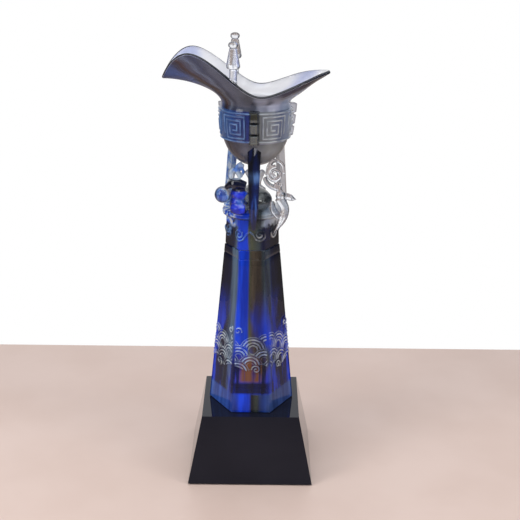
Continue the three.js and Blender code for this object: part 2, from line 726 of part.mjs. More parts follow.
// A curl that faces outwards along an azimuth, round a middle [x, y, height].
function curl([x, y, height], facing, radius, turns, start, hand, thick) {
  const azimuth = radians(facing);
  const wound = spiral(0, height, radius, turns, radians(start), hand);
  const path = wound.map((p) => [x - p.x * Math.sin(azimuth), y + p.x * Math.cos(azimuth), p.y]);
  return limb(path, thick, Math.ceil(turns * 12));
}

const ball = ([x, y, height], size) =>
  solid(new THREE.SphereGeometry(size, 12, 8).rotateX(Math.PI / 2).translate(x, y, deck + height));

const pearl = (grow) =>
  new THREE.SphereGeometry(PEARL_RADIUS + grow, 16, 10)
    .rotateX(Math.PI / 2)
    .translate(PEARL_PLACE[0], PEARL_PLACE[1], deck + PEARL_PLACE[2]);

// Everything that a scroll has to stand clear of.
const surroundings = union([
  ...SIDES.map((_, leg) => legBlank(leg, GAP)),
  bowlCutter,
  collarCutter,
  solid(orb(GAP)),
  solid(pearl(GAP)),
]);

// What is left of a scroll after the cuts, without the crumbs.
function fitted(shape) {
  const pieces = shape.subtract(surroundings).decompose();
  return pieces.sort((a, b) => b.volume() - a.volume())[0];
}

// The loop over the right scroll's curl, and the cradle under it.
const loopPath = [[10, -17, 27], [11.4, -17, 34], [15, -16, 37.4], [20.4, -14, 34], [21.6, -13, 27]];
const cradlePath = [[8, -18.4, 26], [9.6, -18.6, 22.6], [13, -18, 19.4], [17, -17, 18], [20, -15, 21]];
const scrollRight = union([
  curl([15.6, -16, 27.5], -80, 5.6, 1.6, 300, -1, [1.2, 1.8]),
  limb(loopPath, [1.6, 1.5, 1.4], 14),
  limb(cradlePath, [1.5, 2, 1.8], 12),
  limb([[16, -17, 21.6], [18, -16, 17.5], [19.4, -15.6, 13]], [1.8, 2.3, 2.8], 8),
  ball([19.6, -16, 12.4], 3.7),
  limb([[21, -15.6, 12], [24.6, -15, 11.6], [28, -14, 9.8], [30.6, -13, 9]], [2.6, 2.5, 0.5], 10),
  limb([[18.6, -16.6, 11], [22.6, -17, 3], [20, -19.4, -5.6], [15.4, -20.6, -13]], [3.6, 3.1, 0.8], 14),
  limb([[13.6, -18, 9], [14.6, -19.6, 3.4], [18.6, -19.6, -2]], [1.6, 2.6, 2.4], 10),
]);
const scrollLeft = union([
  limb([[-13, -13.4, 5.4], [-9.4, -16.4, 7.4], [-5.6, -17.4, 6.4]], [4.6, 5.6, 3.6], 12),
  limb([[-13.4, -16.4, 3.6], [-9, -19.4, 3.4], [-4.4, -20.4, 4]], [4.2, 4.6, 3.4], 10),
  limb([[-13, -14, 13], [-8.4, -17, 14], [-4.6, -17.6, 12]], [4.2, 5.2, 3.6], 10),
  limb([[-18.6, -16, 17.6], [-15, -16.8, 20.4], [-10.4, -18.4, 21.4], [-4.4, -19, 20]], [1.8, 4, 3], 14),
  limb([[-14.4, -15, 23.4], [-14.6, -14.6, 28.6], [-11, -14.4, 31.6]], [1.8, 2.6, 1.4], 8),
  curl([-8.2, -15.6, 29.6], -100, 4, 1.4, 200, -1, [1, 1.7]),
  limb([[-8.2, -16.6, 25], [-11, -15.6, 32], [-7.4, -14.6, 36]], [1.8, 1.8, 0.7], 8),
]);
// A point behind the orb, at an azimuth and a radius.
const behind = (degrees, radius, height) => {
  const place = round(radians(degrees), radius, height);
  return [place.x, place.y, place.z];
};
const scrollBack = union([
  curl(behind(66, 21, 27), 66, 6.2, 1.6, 340, 1, [1.4, 2]),
  curl(behind(106, 21, 27), 106, 6.2, 1.6, 200, -1, [1.4, 2]),
  limb([behind(70, 21.5, 21), behind(80, 22.5, 15), behind(86, 22, 7)], [2.2, 3, 4], 9),
  limb([behind(102, 21.5, 21), behind(92, 22.5, 15), behind(86, 22, 7)], [2.2, 3, 4], 9),
  limb([behind(66, 20, 6), behind(86, 21.5, 7), behind(106, 20, 6)], [3.4, 5, 3.4], 12),
]);
add("scroll_right", fitted(scrollRight), materials.clear);
add("scroll_left", fitted(scrollLeft), materials.scroll);
add("scroll_back", fitted(scrollBack), materials.scroll);
add("pearl", pearl(0), materials.scroll);

export default trophy;
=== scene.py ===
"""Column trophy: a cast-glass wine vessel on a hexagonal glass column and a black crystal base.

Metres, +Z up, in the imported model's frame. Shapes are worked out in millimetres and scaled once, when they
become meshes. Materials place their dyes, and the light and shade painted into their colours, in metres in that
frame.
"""

import math

import bpy
import numpy as np
from mathutils import Matrix, Vector


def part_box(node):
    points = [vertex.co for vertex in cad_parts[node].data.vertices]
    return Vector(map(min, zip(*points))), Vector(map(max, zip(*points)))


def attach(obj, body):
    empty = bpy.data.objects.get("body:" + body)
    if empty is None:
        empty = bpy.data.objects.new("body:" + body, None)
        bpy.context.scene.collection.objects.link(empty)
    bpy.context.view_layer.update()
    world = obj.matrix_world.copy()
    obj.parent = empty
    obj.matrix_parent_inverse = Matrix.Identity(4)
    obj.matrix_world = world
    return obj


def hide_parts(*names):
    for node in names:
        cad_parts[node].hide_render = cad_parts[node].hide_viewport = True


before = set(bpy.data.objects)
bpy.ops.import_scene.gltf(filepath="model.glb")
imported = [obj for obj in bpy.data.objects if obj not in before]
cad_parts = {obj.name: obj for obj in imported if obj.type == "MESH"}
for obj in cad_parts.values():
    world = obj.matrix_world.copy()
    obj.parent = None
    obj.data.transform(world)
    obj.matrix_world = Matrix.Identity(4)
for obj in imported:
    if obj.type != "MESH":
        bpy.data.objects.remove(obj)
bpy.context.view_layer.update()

MM = 0.001
TURN = 2 * math.pi
ROOT = "root"


def box(node):
    """Lowest and highest corner of a CAD node, in millimetres."""
    return [np.array(corner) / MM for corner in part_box(node)]


# ---- Sizes: the frame's boxes first, then what the boxes don't show, in millimetres ----
column_low, column_high = box("column")
collar_low, collar_high = box("collar")
cup_low, cup_high = box("cup_bowl")

# The column's front face and its depth over its width, and how far the films stay inside the glass.
FRONT_SHARE = 0.465
DEPTH_SHARE = 0.93
FILM_INSET = 1
COLLAR_TAPER = 1
foot_radius = box("base_adhesive")[1][0] + FILM_INSET
head_radius = box("collar_adhesive")[1][0] + FILM_INSET
column_foot, column_head = column_low[2], column_high[2]
collar_foot, deck = collar_low[2], collar_high[2]

# The pitch and depth of the waves' lines, the collar's rim, and the band's square spirals.
WAVE_LINE = 2.2
WAVE_DEPTH = 0.85
RIM_RADIUS = 21.4
RIM_HEIGHT = 4.4
MEANDER_WIDTH = 17
MEANDER_HEIGHT = 15
MEANDER_PITCH = 2.76
MEANDER_PROUD = 0.8
FLANGE_WIDTH = 7

# The legs' azimuths, each with a flange above it, and how far the cup stands to the right of the column's axis.
LEG_TURNS = (-92, 25, 145)
VESSEL_SHIFT = 1.7

# The cup: feet and lifts are heights over its bottom or, for the mouth, over the throat. Rises are angles in degrees.
BAND_FOOT = 19.5
BAND_HEIGHT = 21.5
BAND_RADIUS = 25.2
BAND_TAPER = 1.6
BOWL_RADIUS = 22.4
THROAT_RADIUS = 23.8
THROAT_LIFT = 44
BOWL_FLOOR = 6
WALL = 3.6
LIP = 2.4
MOUTH_HALF_WIDTH = 29.3
SPOUT_TIP_LIFT = 13.4
SPOUT_CREST_LIFT = 34.4
SADDLE_LIFT = 6.4
TAIL_TIP_LIFT = 20
TAIL_RISE = 32
SIDE_RISE = 64
spout_reach = VESSEL_SHIFT - cup_low[0] - LIP / 3
tail_reach = cup_high[0] - VESSEL_SHIFT
bowl_foot = cup_low[2]
band_foot = bowl_foot + BAND_FOOT
throat = bowl_foot + THROAT_LIFT


# ---- Helpers ----
def mix(a, b, share):
    return a + (b - a) * share


def smooth(share):
    share = np.clip(share, 0, 1)
    return share * share * (3 - 2 * share)


def ridge(distance, half, soft):
    """1 within half of a line and 0 beyond it, with soft edges."""
    return 1 - smooth((distance - half) / soft + 0.5)


def polar(radius, azimuth, z):
    """Points at a radius from the axis, along azimuths or along one azimuth."""
    z = z + 0 * azimuth
    return np.stack([radius * np.cos(azimuth), radius * np.sin(azimuth), z], axis=-1)


def piece(name, points, faces, material, replaces=(), sharp=35, relief=None):
    """A mesh from points in millimetres, smooth but for edges sharper than an angle. It rides on the root.

    relief is a value at each point, 1 on a raised line, which the material reads as an attribute.
    """
    mesh = bpy.data.meshes.new(name)
    mesh.from_pydata([tuple(p) for p in np.asarray(points) * MM], [], faces)
    mesh.update()
    if relief is not None:
        raised = mesh.attributes.new("relief", "FLOAT", "POINT")
        raised.data.foreach_set("value", np.asarray(relief, dtype=np.float32))
    mesh.polygons.foreach_set("use_smooth", [True] * len(mesh.polygons))
    mesh.set_sharp_from_angle(angle=math.radians(sharp))
    mesh.materials.append(material)
    made = bpy.data.objects.new(name, mesh)
    bpy.context.scene.collection.objects.link(made)
    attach(made, ROOT)
    if replaces:
        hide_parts(*replaces)
    return made


def loft_faces(rows, columns):
    """Quads between closed rings, and a fan to a middle point at each end."""
    faces = []
    for row in range(rows - 1):
        here, above = row * columns, (row + 1) * columns
        for i in range(columns):
            j = (i + 1) % columns
            faces.append((here + i, here + j, above + j, above + i))
    foot, head = rows * columns, rows * columns + 1
    last = (rows - 1) * columns
    for i in range(columns):
        j = (i + 1) % columns
        faces.append((foot, j, i))
        faces.append((head, last + i, last + j))
    return faces


def loft(name, rings, material, replaces=(), sharp=35, relief=None):
    """A closed piece from rings of points, from the first ring's middle to the last ring's."""
    rings = np.asarray(rings, float)
    rows, columns, _ = rings.shape
    middles = [rings[0].mean(axis=0), rings[-1].mean(axis=0)]
    points = np.vstack([rings.reshape(-1, 3), middles])
    if relief is not None:
        relief = np.append(np.asarray(relief, float).ravel(), [0, 0])
    return piece(name, points, loft_faces(rows, columns), material, replaces, sharp, relief)


def curve_through(points, count):
    """A smooth open line through points, which may have any number of coordinates."""
    p = np.array(points, float)
    p = np.vstack([2 * p[0] - p[1], p, 2 * p[-1] - p[-2]])
    share = np.linspace(0, len(points) - 1, count)
    i = np.minimum(share.astype(int), len(points) - 2)
    t = (share - i)[:, None]
    a, b, c, d = p[i], p[i + 1], p[i + 2], p[i + 3]
    cubic = (3 * b - a - 3 * c + d) * t**3
    square = (2 * a - 5 * b + 4 * c - d) * t**2
    return 0.5 * (2 * b + (c - a) * t + square + cubic)


def distance_to_path(x, y, path):
    """From points to the nearest piece of a path in the same plane."""
    best = np.full(np.broadcast(x, y).shape, 1e9)
    for (ax, ay), (bx, by) in zip(path[:-1], path[1:]):
        dx, dy = bx - ax, by - ay
        share = ((x - ax) * dx + (y - ay) * dy) / max(dx * dx + dy * dy, 1e-9)
        share = np.clip(share, 0, 1)
        best = np.minimum(best, np.hypot(x - ax - share * dx, y - ay - share * dy))
    return best


def spiral(middle, radius, turns, start, hand):
    """A spiral from near its middle out, counterclockwise where hand is 1 and clockwise where it is -1."""
    share = np.linspace(0, 1, 60)
    angle = start + hand * share * turns * TURN
    reach = radius * mix(0.16, 1, share)
    return np.column_stack([middle[0] + reach * np.cos(angle), middle[1] + reach * np.sin(angle)])


# ---- Node helpers ----
class Nodes:
    """Adds nodes to one tree and links them by value."""

    def __init__(self, tree):
        self.tree = tree

    def add(self, kind, **settings):
        node = self.tree.nodes.new(kind)
        for name, value in settings.items():
            setattr(node, name, value)
        return node

    def feed(self, socket, value):
        if isinstance(value, bpy.types.NodeSocket):
            self.tree.links.new(value, socket)
        elif socket.type == "RGBA":
            socket.default_value = (*value, 1)
        else:
            socket.default_value = value

    def math(self, operation, a, b=0.0):
        node = self.add("ShaderNodeMath", operation=operation)
        self.feed(node.inputs[0], a)
        self.feed(node.inputs[1], b)
        return node.outputs[0]

    def product(self, *factors):
        """All the factors multiplied, from left to right."""
        total = factors[0]
        for factor in factors[1:]:
            total = self.math("MULTIPLY", total, factor)
        return total

    def wander(self, value, noise, reach):
        """A value moved by half of reach either way."""
        away = self.math("MULTIPLY", self.math("SUBTRACT", noise, 0.5), reach)
        return self.math("ADD", value, away)

    def between(self, value, low, high, to_low=0.0, to_high=1.0):
        """A smooth step from to_low at low to to_high at high, which may be the lower one."""
        node = self.add("ShaderNodeMapRange", interpolation_type="SMOOTHSTEP")
        for socket, given in zip(node.inputs, (value, low, high, to_low, to_high)):
            self.feed(socket, given)
        return node.outputs[0]

    def within(self, value, low, full_low, full_high, high):
        """1 from full_low to full_high, and 0 below low and above high."""
        return self.product(self.between(value, low, full_low), self.between(value, high, full_high))

    def blend(self, share, a, b, kind="MIX"):
        node = self.add("ShaderNodeMix", data_type="RGBA", blend_type=kind)
        self.feed(node.inputs[0], share)
        self.feed(node.inputs[6], a)
        self.feed(node.inputs[7], b)
        return node.outputs[2]

    def place(self):
        """The point in the object's own frame, as a vector and as x, y and z, in metres."""
        coordinates = self.add("ShaderNodeTexCoord").outputs["Object"]
        parts = self.add("ShaderNodeSeparateXYZ")
        self.feed(parts.inputs[0], coordinates)
        return coordinates, *parts.outputs

    def noise(self, coordinates, stretch, scale, detail=2.0, seed=0.0):
        mapping = self.add("ShaderNodeMapping")
        self.feed(mapping.inputs["Vector"], coordinates)
        mapping.inputs["Scale"].default_value = stretch
        mapping.inputs["Location"].default_value = (seed, seed * 0.7, seed * 1.3)
        node = self.add("ShaderNodeTexNoise")
        self.feed(node.inputs["Vector"], mapping.outputs[0])
        node.inputs["Scale"].default_value = scale
        node.inputs["Detail"].default_value = detail
        return node.outputs["Fac"]

    def ramp(self, value, stops, curve="EASE"):
        node = self.add("ShaderNodeValToRGB")
        self.feed(node.inputs[0], value)
        elements = node.color_ramp.elements
        while len(elements) < len(stops):
            elements.new(0.5)
        for element, (position, colour) in zip(elements, stops):
            element.position = position
            element.color = (*colour, 1)
        node.color_ramp.interpolation = curve
        return node.outputs[0]

    def bump(self, height, strength, distance):
        node = self.add("ShaderNodeBump")
        node.inputs["Strength"].default_value = strength
        node.inputs["Distance"].default_value = distance
        self.feed(node.inputs["Height"], height)
        return node.outputs[0]


# ---- Dyes, and light and shade painted into the colours. A colour function takes the nodes, the coordinates and x, y and z, in metres from the base's middle ----
COBALT = (0.012, 0.07, 0.85)
SKY = (0.22, 0.45, 1.0)
NAVY = (0.004, 0.008, 0.045)
INK = (0.003, 0.003, 0.010)
SLATE = (0.055, 0.075, 0.09)
STEEL = (0.10, 0.16, 0.25)
OLIVE = (0.11, 0.12, 0.065)
# A warm brown that paints the wooden table seen through the column.
PAINTED_TABLE_AMBER = (0.075, 0.06, 0.045)
CLEAR = (0.94, 0.95, 0.98)
ICE = (0.62, 0.74, 0.88)
# Painted shade for where the glass turns away.
PAINTED_EDGE_SHADE = (0.03, 0.036, 0.06)

# Stops of the colour ramps. The column's, the collar's and the band's run from left to right.
# The column's streaks: the cobalt is dye, the ink and navy sides are painted shade, and the warm middle is a painted
# view of the wooden table through the glass.
COLUMN_STREAKS = [
    (0.0, INK),
    (0.13, NAVY),
    (0.17, STEEL),
    (0.235, STEEL),
    (0.27, COBALT),
    (0.43, COBALT),
    (0.465, OLIVE),
    (0.5, PAINTED_TABLE_AMBER),
    (0.66, PAINTED_TABLE_AMBER),
    (0.70, SLATE),
    (0.80, SLATE),
    (0.84, NAVY),
    (1.0, INK),
]
# Painted light refracted at the column's foot: blue at the sides and dark in the middle.
COLUMN_FOOT_PAINTED_GLOW = [
    (0.0, (0.06, 0.16, 0.6)),
    (0.2, (0.03, 0.07, 0.4)),
    (0.32, COBALT),
    (0.44, COBALT),
    (0.52, (0.02, 0.022, 0.03)),
    (0.6, (0.04, 0.05, 0.045)),
    (0.72, (0.02, 0.06, 0.3)),
    (0.86, (0.05, 0.1, 0.3)),
    (1.0, (0.06, 0.12, 0.4)),
]
# Painted highlights on the raised lines: white and blue on the left, grey in the middle and white on the right.
COLUMN_RIDGE_HIGHLIGHTS = [
    (0.0, (0.9, 0.97, 1.0)),
    (0.24, (0.75, 0.9, 1.0)),
    (0.36, (0.45, 0.65, 1.0)),
    (0.52, (0.5, 0.53, 0.52)),
    (0.68, (0.25, 0.32, 0.55)),
    (0.8, (0.6, 0.66, 0.75)),
    (1.0, (0.95, 0.97, 1.0)),
]
# The collar's lower part: cobalt dye, with painted shade at the ink and navy sides.
COLLAR_LOW = [
    (0.0, INK),
    (0.09, NAVY),
    (0.13, STEEL),
    (0.18, COBALT),
    (0.42, COBALT),
    (0.46, OLIVE),
    (0.72, SLATE),
    (0.82, NAVY),
    (1, INK),
]
COLLAR_HIGH = [
    (0.0, ICE),
    (0.1, SKY),
    (0.17, COBALT),
    (0.41, COBALT),
    (0.46, (0.05, 0.07, 0.02)),
    (0.56, (0.03, 0.028, 0.02)),
    (0.72, SLATE),
    (0.82, ICE),
    (1, CLEAR),
]
# The near side's smoke, with lighter blue-grey bands that are painted highlights.
CUP_SPOUT = [  # from the near side to the keel
    (0.0, (0.06, 0.065, 0.085)),
    (0.2, (0.10, 0.105, 0.14)),
    (0.4, (0.045, 0.05, 0.08)),
    (0.55, (0.14, 0.16, 0.21)),
    (0.68, (0.07, 0.065, 0.085)),
    (0.8, (0.05, 0.02, 0.016)),
    (0.9, (0.03, 0.026, 0.04)),
    (1.0, (0.05, 0.09, 0.24)),
]
# The tail's underside: a painted pale highlight at its lower edge and painted shade towards the rim.
CUP_TAIL = [  # from its lower edge up
    (0.0, (0.5, 0.6, 0.78)),
    (0.25, (0.2, 0.22, 0.28)),
    (0.42, (0.03, 0.025, 0.045)),
    (0.7, (0.018, 0.014, 0.035)),
    (1.0, (0.09, 0.095, 0.12)),
]
CUP_BAND = [
    (0.0, (0.06, 0.16, 0.42)),
    (0.14, (0.015, 0.05, 0.26)),
    (0.3, (0.006, 0.02, 0.16)),
    (0.47, (0.008, 0.035, 0.42)),
    (0.54, (0.26, 0.28, 0.26)),
    (0.78, (0.3, 0.32, 0.32)),
    (0.92, (0.16, 0.2, 0.32)),
    (1.0, (0.4, 0.48, 0.62)),
]
# The front leg's streaks: ink and navy, with painted blue glints at the bright end.
LEG_DEEP = [
    (0.4, INK),
    (0.54, (0.004, 0.012, 0.09)),
    (0.64, (0.02, 0.06, 0.34)),
    (0.72, (0.12, 0.3, 0.8)),
]
LEG_PALE = [
    (0.36, (0.02, 0.06, 0.3)),
    (0.46, (0.12, 0.3, 0.85)),
    (0.54, (0.35, 0.6, 1.0)),
    (0.64, (0.8, 0.9, 1.0)),
]
SCROLL_DEEP = [
    (0.38, (0.004, 0.012, 0.3)),
    (0.46, (0.008, 0.03, 0.75)),
    (0.54, (0.01, 0.05, 1.0)),
    (0.66, (0.08, 0.25, 1.0)),
]
TAIL_SLOPE = 0.457  # how steeply the tail's underside climbs


def raised(nodes):
    """The relief attribute: 1 on raised lines and 0 beside them."""
    return nodes.add("ShaderNodeAttribute", attribute_name="relief").outputs["Fac"]


def column_colour(nodes, coordinates, x, y, z):
    """Upright streaks that follow the taper, bluer towards the foot, with pale raised lines. The cobalt is dye; the
    dark sides are painted shade, the warm middle and a brown patch low in it are a painted view of the wooden table,
    light refracted at the foot is painted on, and the pale lines are painted highlights.
    """
    drift = nodes.noise(coordinates, (1, 1, 0.10), 60, 2.0, 1.7)
    patches = nodes.noise(coordinates, (1, 1, 0.35), 55, 3.0, 8.3)
    threads = nodes.noise(coordinates, (1.6, 1.6, 0.07), 120, 3.0, 2.9)
    glint = nodes.noise(coordinates, (1, 1, 1), 210, 2.0, 4.9)
    side = nodes.math("ABSOLUTE", x)
    across = nodes.between(x, -0.03, 0.03)

    half_width = nodes.between(z, column_foot * MM, column_head * MM, foot_radius * MM, head_radius * MM)
    turned = nodes.wander(nodes.math("DIVIDE", x, half_width), drift, 0.16)
    tint = nodes.ramp(nodes.math("ADD", nodes.math("MULTIPLY", turned, 0.5), 0.5), COLUMN_STREAKS, "LINEAR")
    wash = nodes.product(nodes.between(z, 0.145, 0.105), nodes.between(patches, 0.41, 0.55))
    tint = nodes.blend(wash, tint, (0.01, 0.05, 0.68))

    # Painted view of the wooden table: a warm brown patch low in the middle of the column.
    table_seen_through = nodes.product(nodes.within(z, 0.071, 0.075, 0.088, 0.096), nodes.between(side, 0.014, 0.005))
    tint = nodes.blend(nodes.product(table_seen_through, nodes.between(threads, 0.35, 0.6)), tint, (0.2, 0.075, 0.03))
    dark = nodes.product(nodes.between(z, 0.096, 0.084), nodes.between(threads, 0.54, 0.44), 0.85)
    tint = nodes.blend(dark, tint, NAVY)
    shade = nodes.product(nodes.within(z, 0.0635, 0.0655, 0.0715, 0.0745), nodes.between(side, 0.018, 0.010))
    shade = nodes.product(shade, nodes.between(threads, 0.3, 0.5, 0.35, 0.9))
    tint = nodes.blend(shade, tint, (0.006, 0.006, 0.006))
    # Painted refracted light along the column's foot.
    tint = nodes.blend(nodes.between(z, 0.0655, 0.0630), tint, nodes.ramp(across, COLUMN_FOOT_PAINTED_GLOW))

    threaded = nodes.blend(nodes.between(threads, 0.35, 0.7), (0.55, 0.55, 0.6), (1.4, 1.4, 1.3))
    tint = nodes.blend(1.0, tint, threaded, "MULTIPLY")
    # Painted highlights: the raised lines are painted pale where the glint noise lets them.
    lines = nodes.product(raised(nodes), nodes.between(glint, 0.3, 0.6, 0.25, 1.0))
    return nodes.blend(lines, tint, nodes.ramp(across, COLUMN_RIDGE_HIGHLIGHTS))


def collar_colour(nodes, coordinates, x, y, z):
    """Cobalt on the left and smoke on the right, with painted shade at both sides below and pale glass above, and
    painted highlights on the raised lines.
    """
    drift = nodes.noise(coordinates, (1, 1, 0.4), 70, 2.0, 4.4)
    spots = nodes.noise(coordinates, (1, 1, 1), 260, 2.0, 7.1)
    glint = nodes.noise(coordinates, (1, 1, 1), 170, 2.0, 3.9)

    shifted = nodes.wander(x, drift, 0.006)
    low = nodes.ramp(nodes.between(shifted, -0.02, 0.02), COLLAR_LOW, "LINEAR")
    high = nodes.ramp(nodes.between(shifted, -0.022, 0.022), COLLAR_HIGH, "LINEAR")
    tint = nodes.blend(nodes.between(nodes.wander(z, spots, 0.012), 0.1850, 0.1900), low, high)
    corner = nodes.product(nodes.between(x, -0.010, -0.014), nodes.between(z, 0.1850, 0.1885))
    speckled = nodes.ramp(spots, [(0.36, NAVY), (0.44, COBALT), (0.52, SKY), (0.6, CLEAR)])
    tint = nodes.blend(corner, tint, speckled)
    seam = nodes.product(nodes.within(z, 0.1922, 0.1928, 0.1938, 0.1944), nodes.between(x, 0.012, 0.007), 0.85)
    tint = nodes.blend(seam, tint, NAVY)

    # Painted highlights on the raised lines: sky blue on the left, slate and white crescents on the right.
    lines = nodes.product(raised(nodes), nodes.between(glint, 0.42, 0.62, 0.12, 0.9))
    crescent_highlight = nodes.blend(nodes.between(z, 0.1832, 0.1806), SLATE, (1.0, 1.0, 1.0))
    return nodes.blend(lines, tint, nodes.blend(nodes.between(x, -0.002, 0.002), SKY, crescent_highlight))


def cup_smoke(nodes, coordinates, x, y, z, drift):
    """The near side: dark with brown and blue drifts and painted highlight bands, a tail painted with shade near the
    rim and a highlight at its lower edge, and painted light in the throat.
    """
    columns = nodes.noise(coordinates, (1, 1, 0.08), 75, 1.0, 5.2)
    spout = nodes.ramp(nodes.between(nodes.wander(y, drift, 0.010), -0.030, -0.008), CUP_SPOUT)
    slope = nodes.math("SUBTRACT", z, nodes.math("MULTIPLY", x, TAIL_SLOPE))
    tail = nodes.ramp(nodes.between(nodes.wander(slope, drift, 0.004), 0.266, 0.275), CUP_TAIL)
    smoke = nodes.blend(nodes.between(x, 0.012, 0.022), spout, tail)
    # Painted light: a pale patch in the throat where the backdrop shows through.
    painted_throat_glow = nodes.product(
        nodes.between(z, 0.283, 0.273),
        nodes.between(x, -0.012, -0.004),
        nodes.between(x, 0.022, 0.017),
        nodes.between(columns, 0.38, 0.6),
    )
    return nodes.blend(painted_throat_glow, smoke, (0.66, 0.7, 0.86))


def cup_colour(nodes, coordinates, x, y, z):
    """Smoke glass in front, painted pale inside and behind where the backdrop lights it, blue and grey on the band
    with painted highlights on its crests, and a bottom painted lit on the right and dim on the left.
    """
    drift = nodes.noise(coordinates, (0.35, 1, 2.2), 34, 2.0, 2.2)
    bright = nodes.noise(coordinates, (1, 1, 0.5), 26, 1.0, 6.6)
    glint = nodes.noise(coordinates, (1, 1, 1), 150, 2.0, 1.9)
    relief = raised(nodes)
    outside = nodes.between(relief, -0.3, -0.1)

    # Painted light: the far wall and the inside are painted pale where the backdrop lights them, and the near wall is
    # painted as dark smoke.
    backlit_lavender = nodes.blend(nodes.between(bright, 0.42, 0.58), (0.6, 0.65, 0.88), (0.96, 0.96, 0.98))
    smoke = cup_smoke(nodes, coordinates, x, y, z, drift)
    tint = nodes.blend(nodes.between(y, -0.004, 0.006), smoke, backlit_lavender)
    tint = nodes.blend(nodes.product(nodes.between(relief, -0.1, -0.45), 0.85), tint, backlit_lavender)
    tint = nodes.blend(nodes.between(relief, -0.55, -0.9), tint, (0.02, 0.022, 0.03))

    band = nodes.product(nodes.within(z, 0.2472, 0.2482, 0.2692, 0.2702), outside)
    band_tint = nodes.ramp(nodes.between(x, -0.024, 0.028), CUP_BAND, "LINEAR")
    tint = nodes.blend(nodes.product(band, 0.92), tint, band_tint)
    # Painted highlights on the band's raised crests, blue on the left and grey on the right.
    crest = nodes.product(band, nodes.between(relief, 0.15, 0.8), nodes.between(glint, 0.35, 0.62, 0.35, 1.0))
    painted_crest_highlight = nodes.blend(nodes.between(x, -0.004, 0.008), (0.22, 0.4, 0.75), (0.72, 0.77, 0.78))
    tint = nodes.blend(crest, tint, painted_crest_highlight)

    bottom = nodes.product(nodes.between(z, 0.2478, 0.2468), outside, 0.8)
    lit = nodes.ramp(bright, [(0.4, (0.10, 0.11, 0.08)), (0.5, (0.2, 0.21, 0.16)), (0.58, (0.4, 0.42, 0.4))])
    dim = nodes.blend(drift, (0.03, 0.025, 0.035), (0.09, 0.075, 0.085))
    return nodes.blend(bottom, tint, nodes.blend(nodes.between(x, -0.006, 0.012), dim, lit))


def flat_colour(colour, other, scale=60):
    """A colour function for glass of one dye that drifts a little towards another."""

    def tint(nodes, coordinates, x, y, z):
        return nodes.blend(nodes.noise(coordinates, (1, 1, 0.6), scale, 2.0, 5.5), colour, other)

    return tint


def leg_colour(nodes, coordinates, x, y, z):
    """Ink blue in front with painted blue glints, ice blue on the left and clear on the right."""
    streak = nodes.noise(coordinates, (1, 1, 0.2), 150, 2.0, 7.7)
    flecks = nodes.noise(coordinates, (1, 1, 0.5), 260, 2.0, 3.3)
    deep, pale = nodes.ramp(streak, LEG_DEEP), nodes.ramp(flecks, LEG_PALE)
    # Painted highlight: a blue gleam across the front leg at mid-height.
    gleam = nodes.within(z, 0.2180, 0.2245, 0.2250, 0.2300)
    deep = nodes.blend(nodes.product(gleam, nodes.between(streak, 0.44, 0.6, 0.1, 0.7)), deep, SKY)
    left = nodes.blend(nodes.between(x, -0.008, -0.012), deep, pale)
    return nodes.blend(nodes.between(x, 0.012, 0.016), left, (0.92, 0.95, 1.0))


def leg_clarity(nodes, x):
    """The front leg is deep dye, the left one paler and the right one clear."""
    right, left = nodes.between(x, 0.012, 0.016, 0.5, 0.7), nodes.between(x, -0.008, -0.012, 0.0, 0.2)
    return nodes.math("ADD", right, left)


def flange_colour(nodes, coordinates, x, y, z):
    """Grey blocks with painted shade in the gaps between them, clear at the sides."""
    block = nodes.between(raised(nodes), 0.2, 0.7)
    face = nodes.blend(nodes.between(z, 0.2645, 0.2660), (0.27, 0.29, 0.27), (0.05, 0.055, 0.035))
    # Painted shade in the gaps between the blocks.
    front = nodes.blend(block, (0.012, 0.015, 0.010), face)
    side = nodes.between(nodes.math("ABSOLUTE", x), 0.012, 0.018)
    return nodes.blend(side, front, (0.82, 0.84, 0.92))


def scroll_colour(nodes, coordinates, x, y, z):
    """Cobalt below, an ink-dark hood over it, and pale curls above."""
    drift = nodes.noise(coordinates, (1, 1, 1), 110, 2.0, 6.1)
    deep = nodes.ramp(drift, SCROLL_DEEP)
    hood = nodes.ramp(drift, [(0.35, INK), (0.6, NAVY), (0.8, (0.03, 0.03, 0.05))])
    pale = nodes.ramp(drift, [(0.35, (0.12, 0.3, 0.85)), (0.5, ICE), (0.65, CLEAR)])
    tint = nodes.blend(nodes.between(z, 0.2132, 0.2142), deep, hood)
    tint = nodes.blend(nodes.between(z, 0.2216, 0.2224), tint, pale)
    return nodes.blend(nodes.between(y, -0.002, 0.004), tint, CLEAR)


def pearl_colour(nodes, coordinates, x, y, z):
    """Sky blue, with a deep patch and a pale one."""
    cloud = nodes.noise(coordinates, (1, 1, 1), 130, 2.0, 2.6)
    return nodes.ramp(cloud, [(0.4, (0.03, 0.08, 0.5)), (0.49, (0.2, 0.45, 1.0)), (0.58, (0.85, 0.93, 1.0))])


# ---- Materials ----
def principled(name):
    material = bpy.data.materials.new(name)
    material.use_nodes = True
    tree = material.node_tree
    return material, tree.nodes["Principled BSDF"], Nodes(tree)


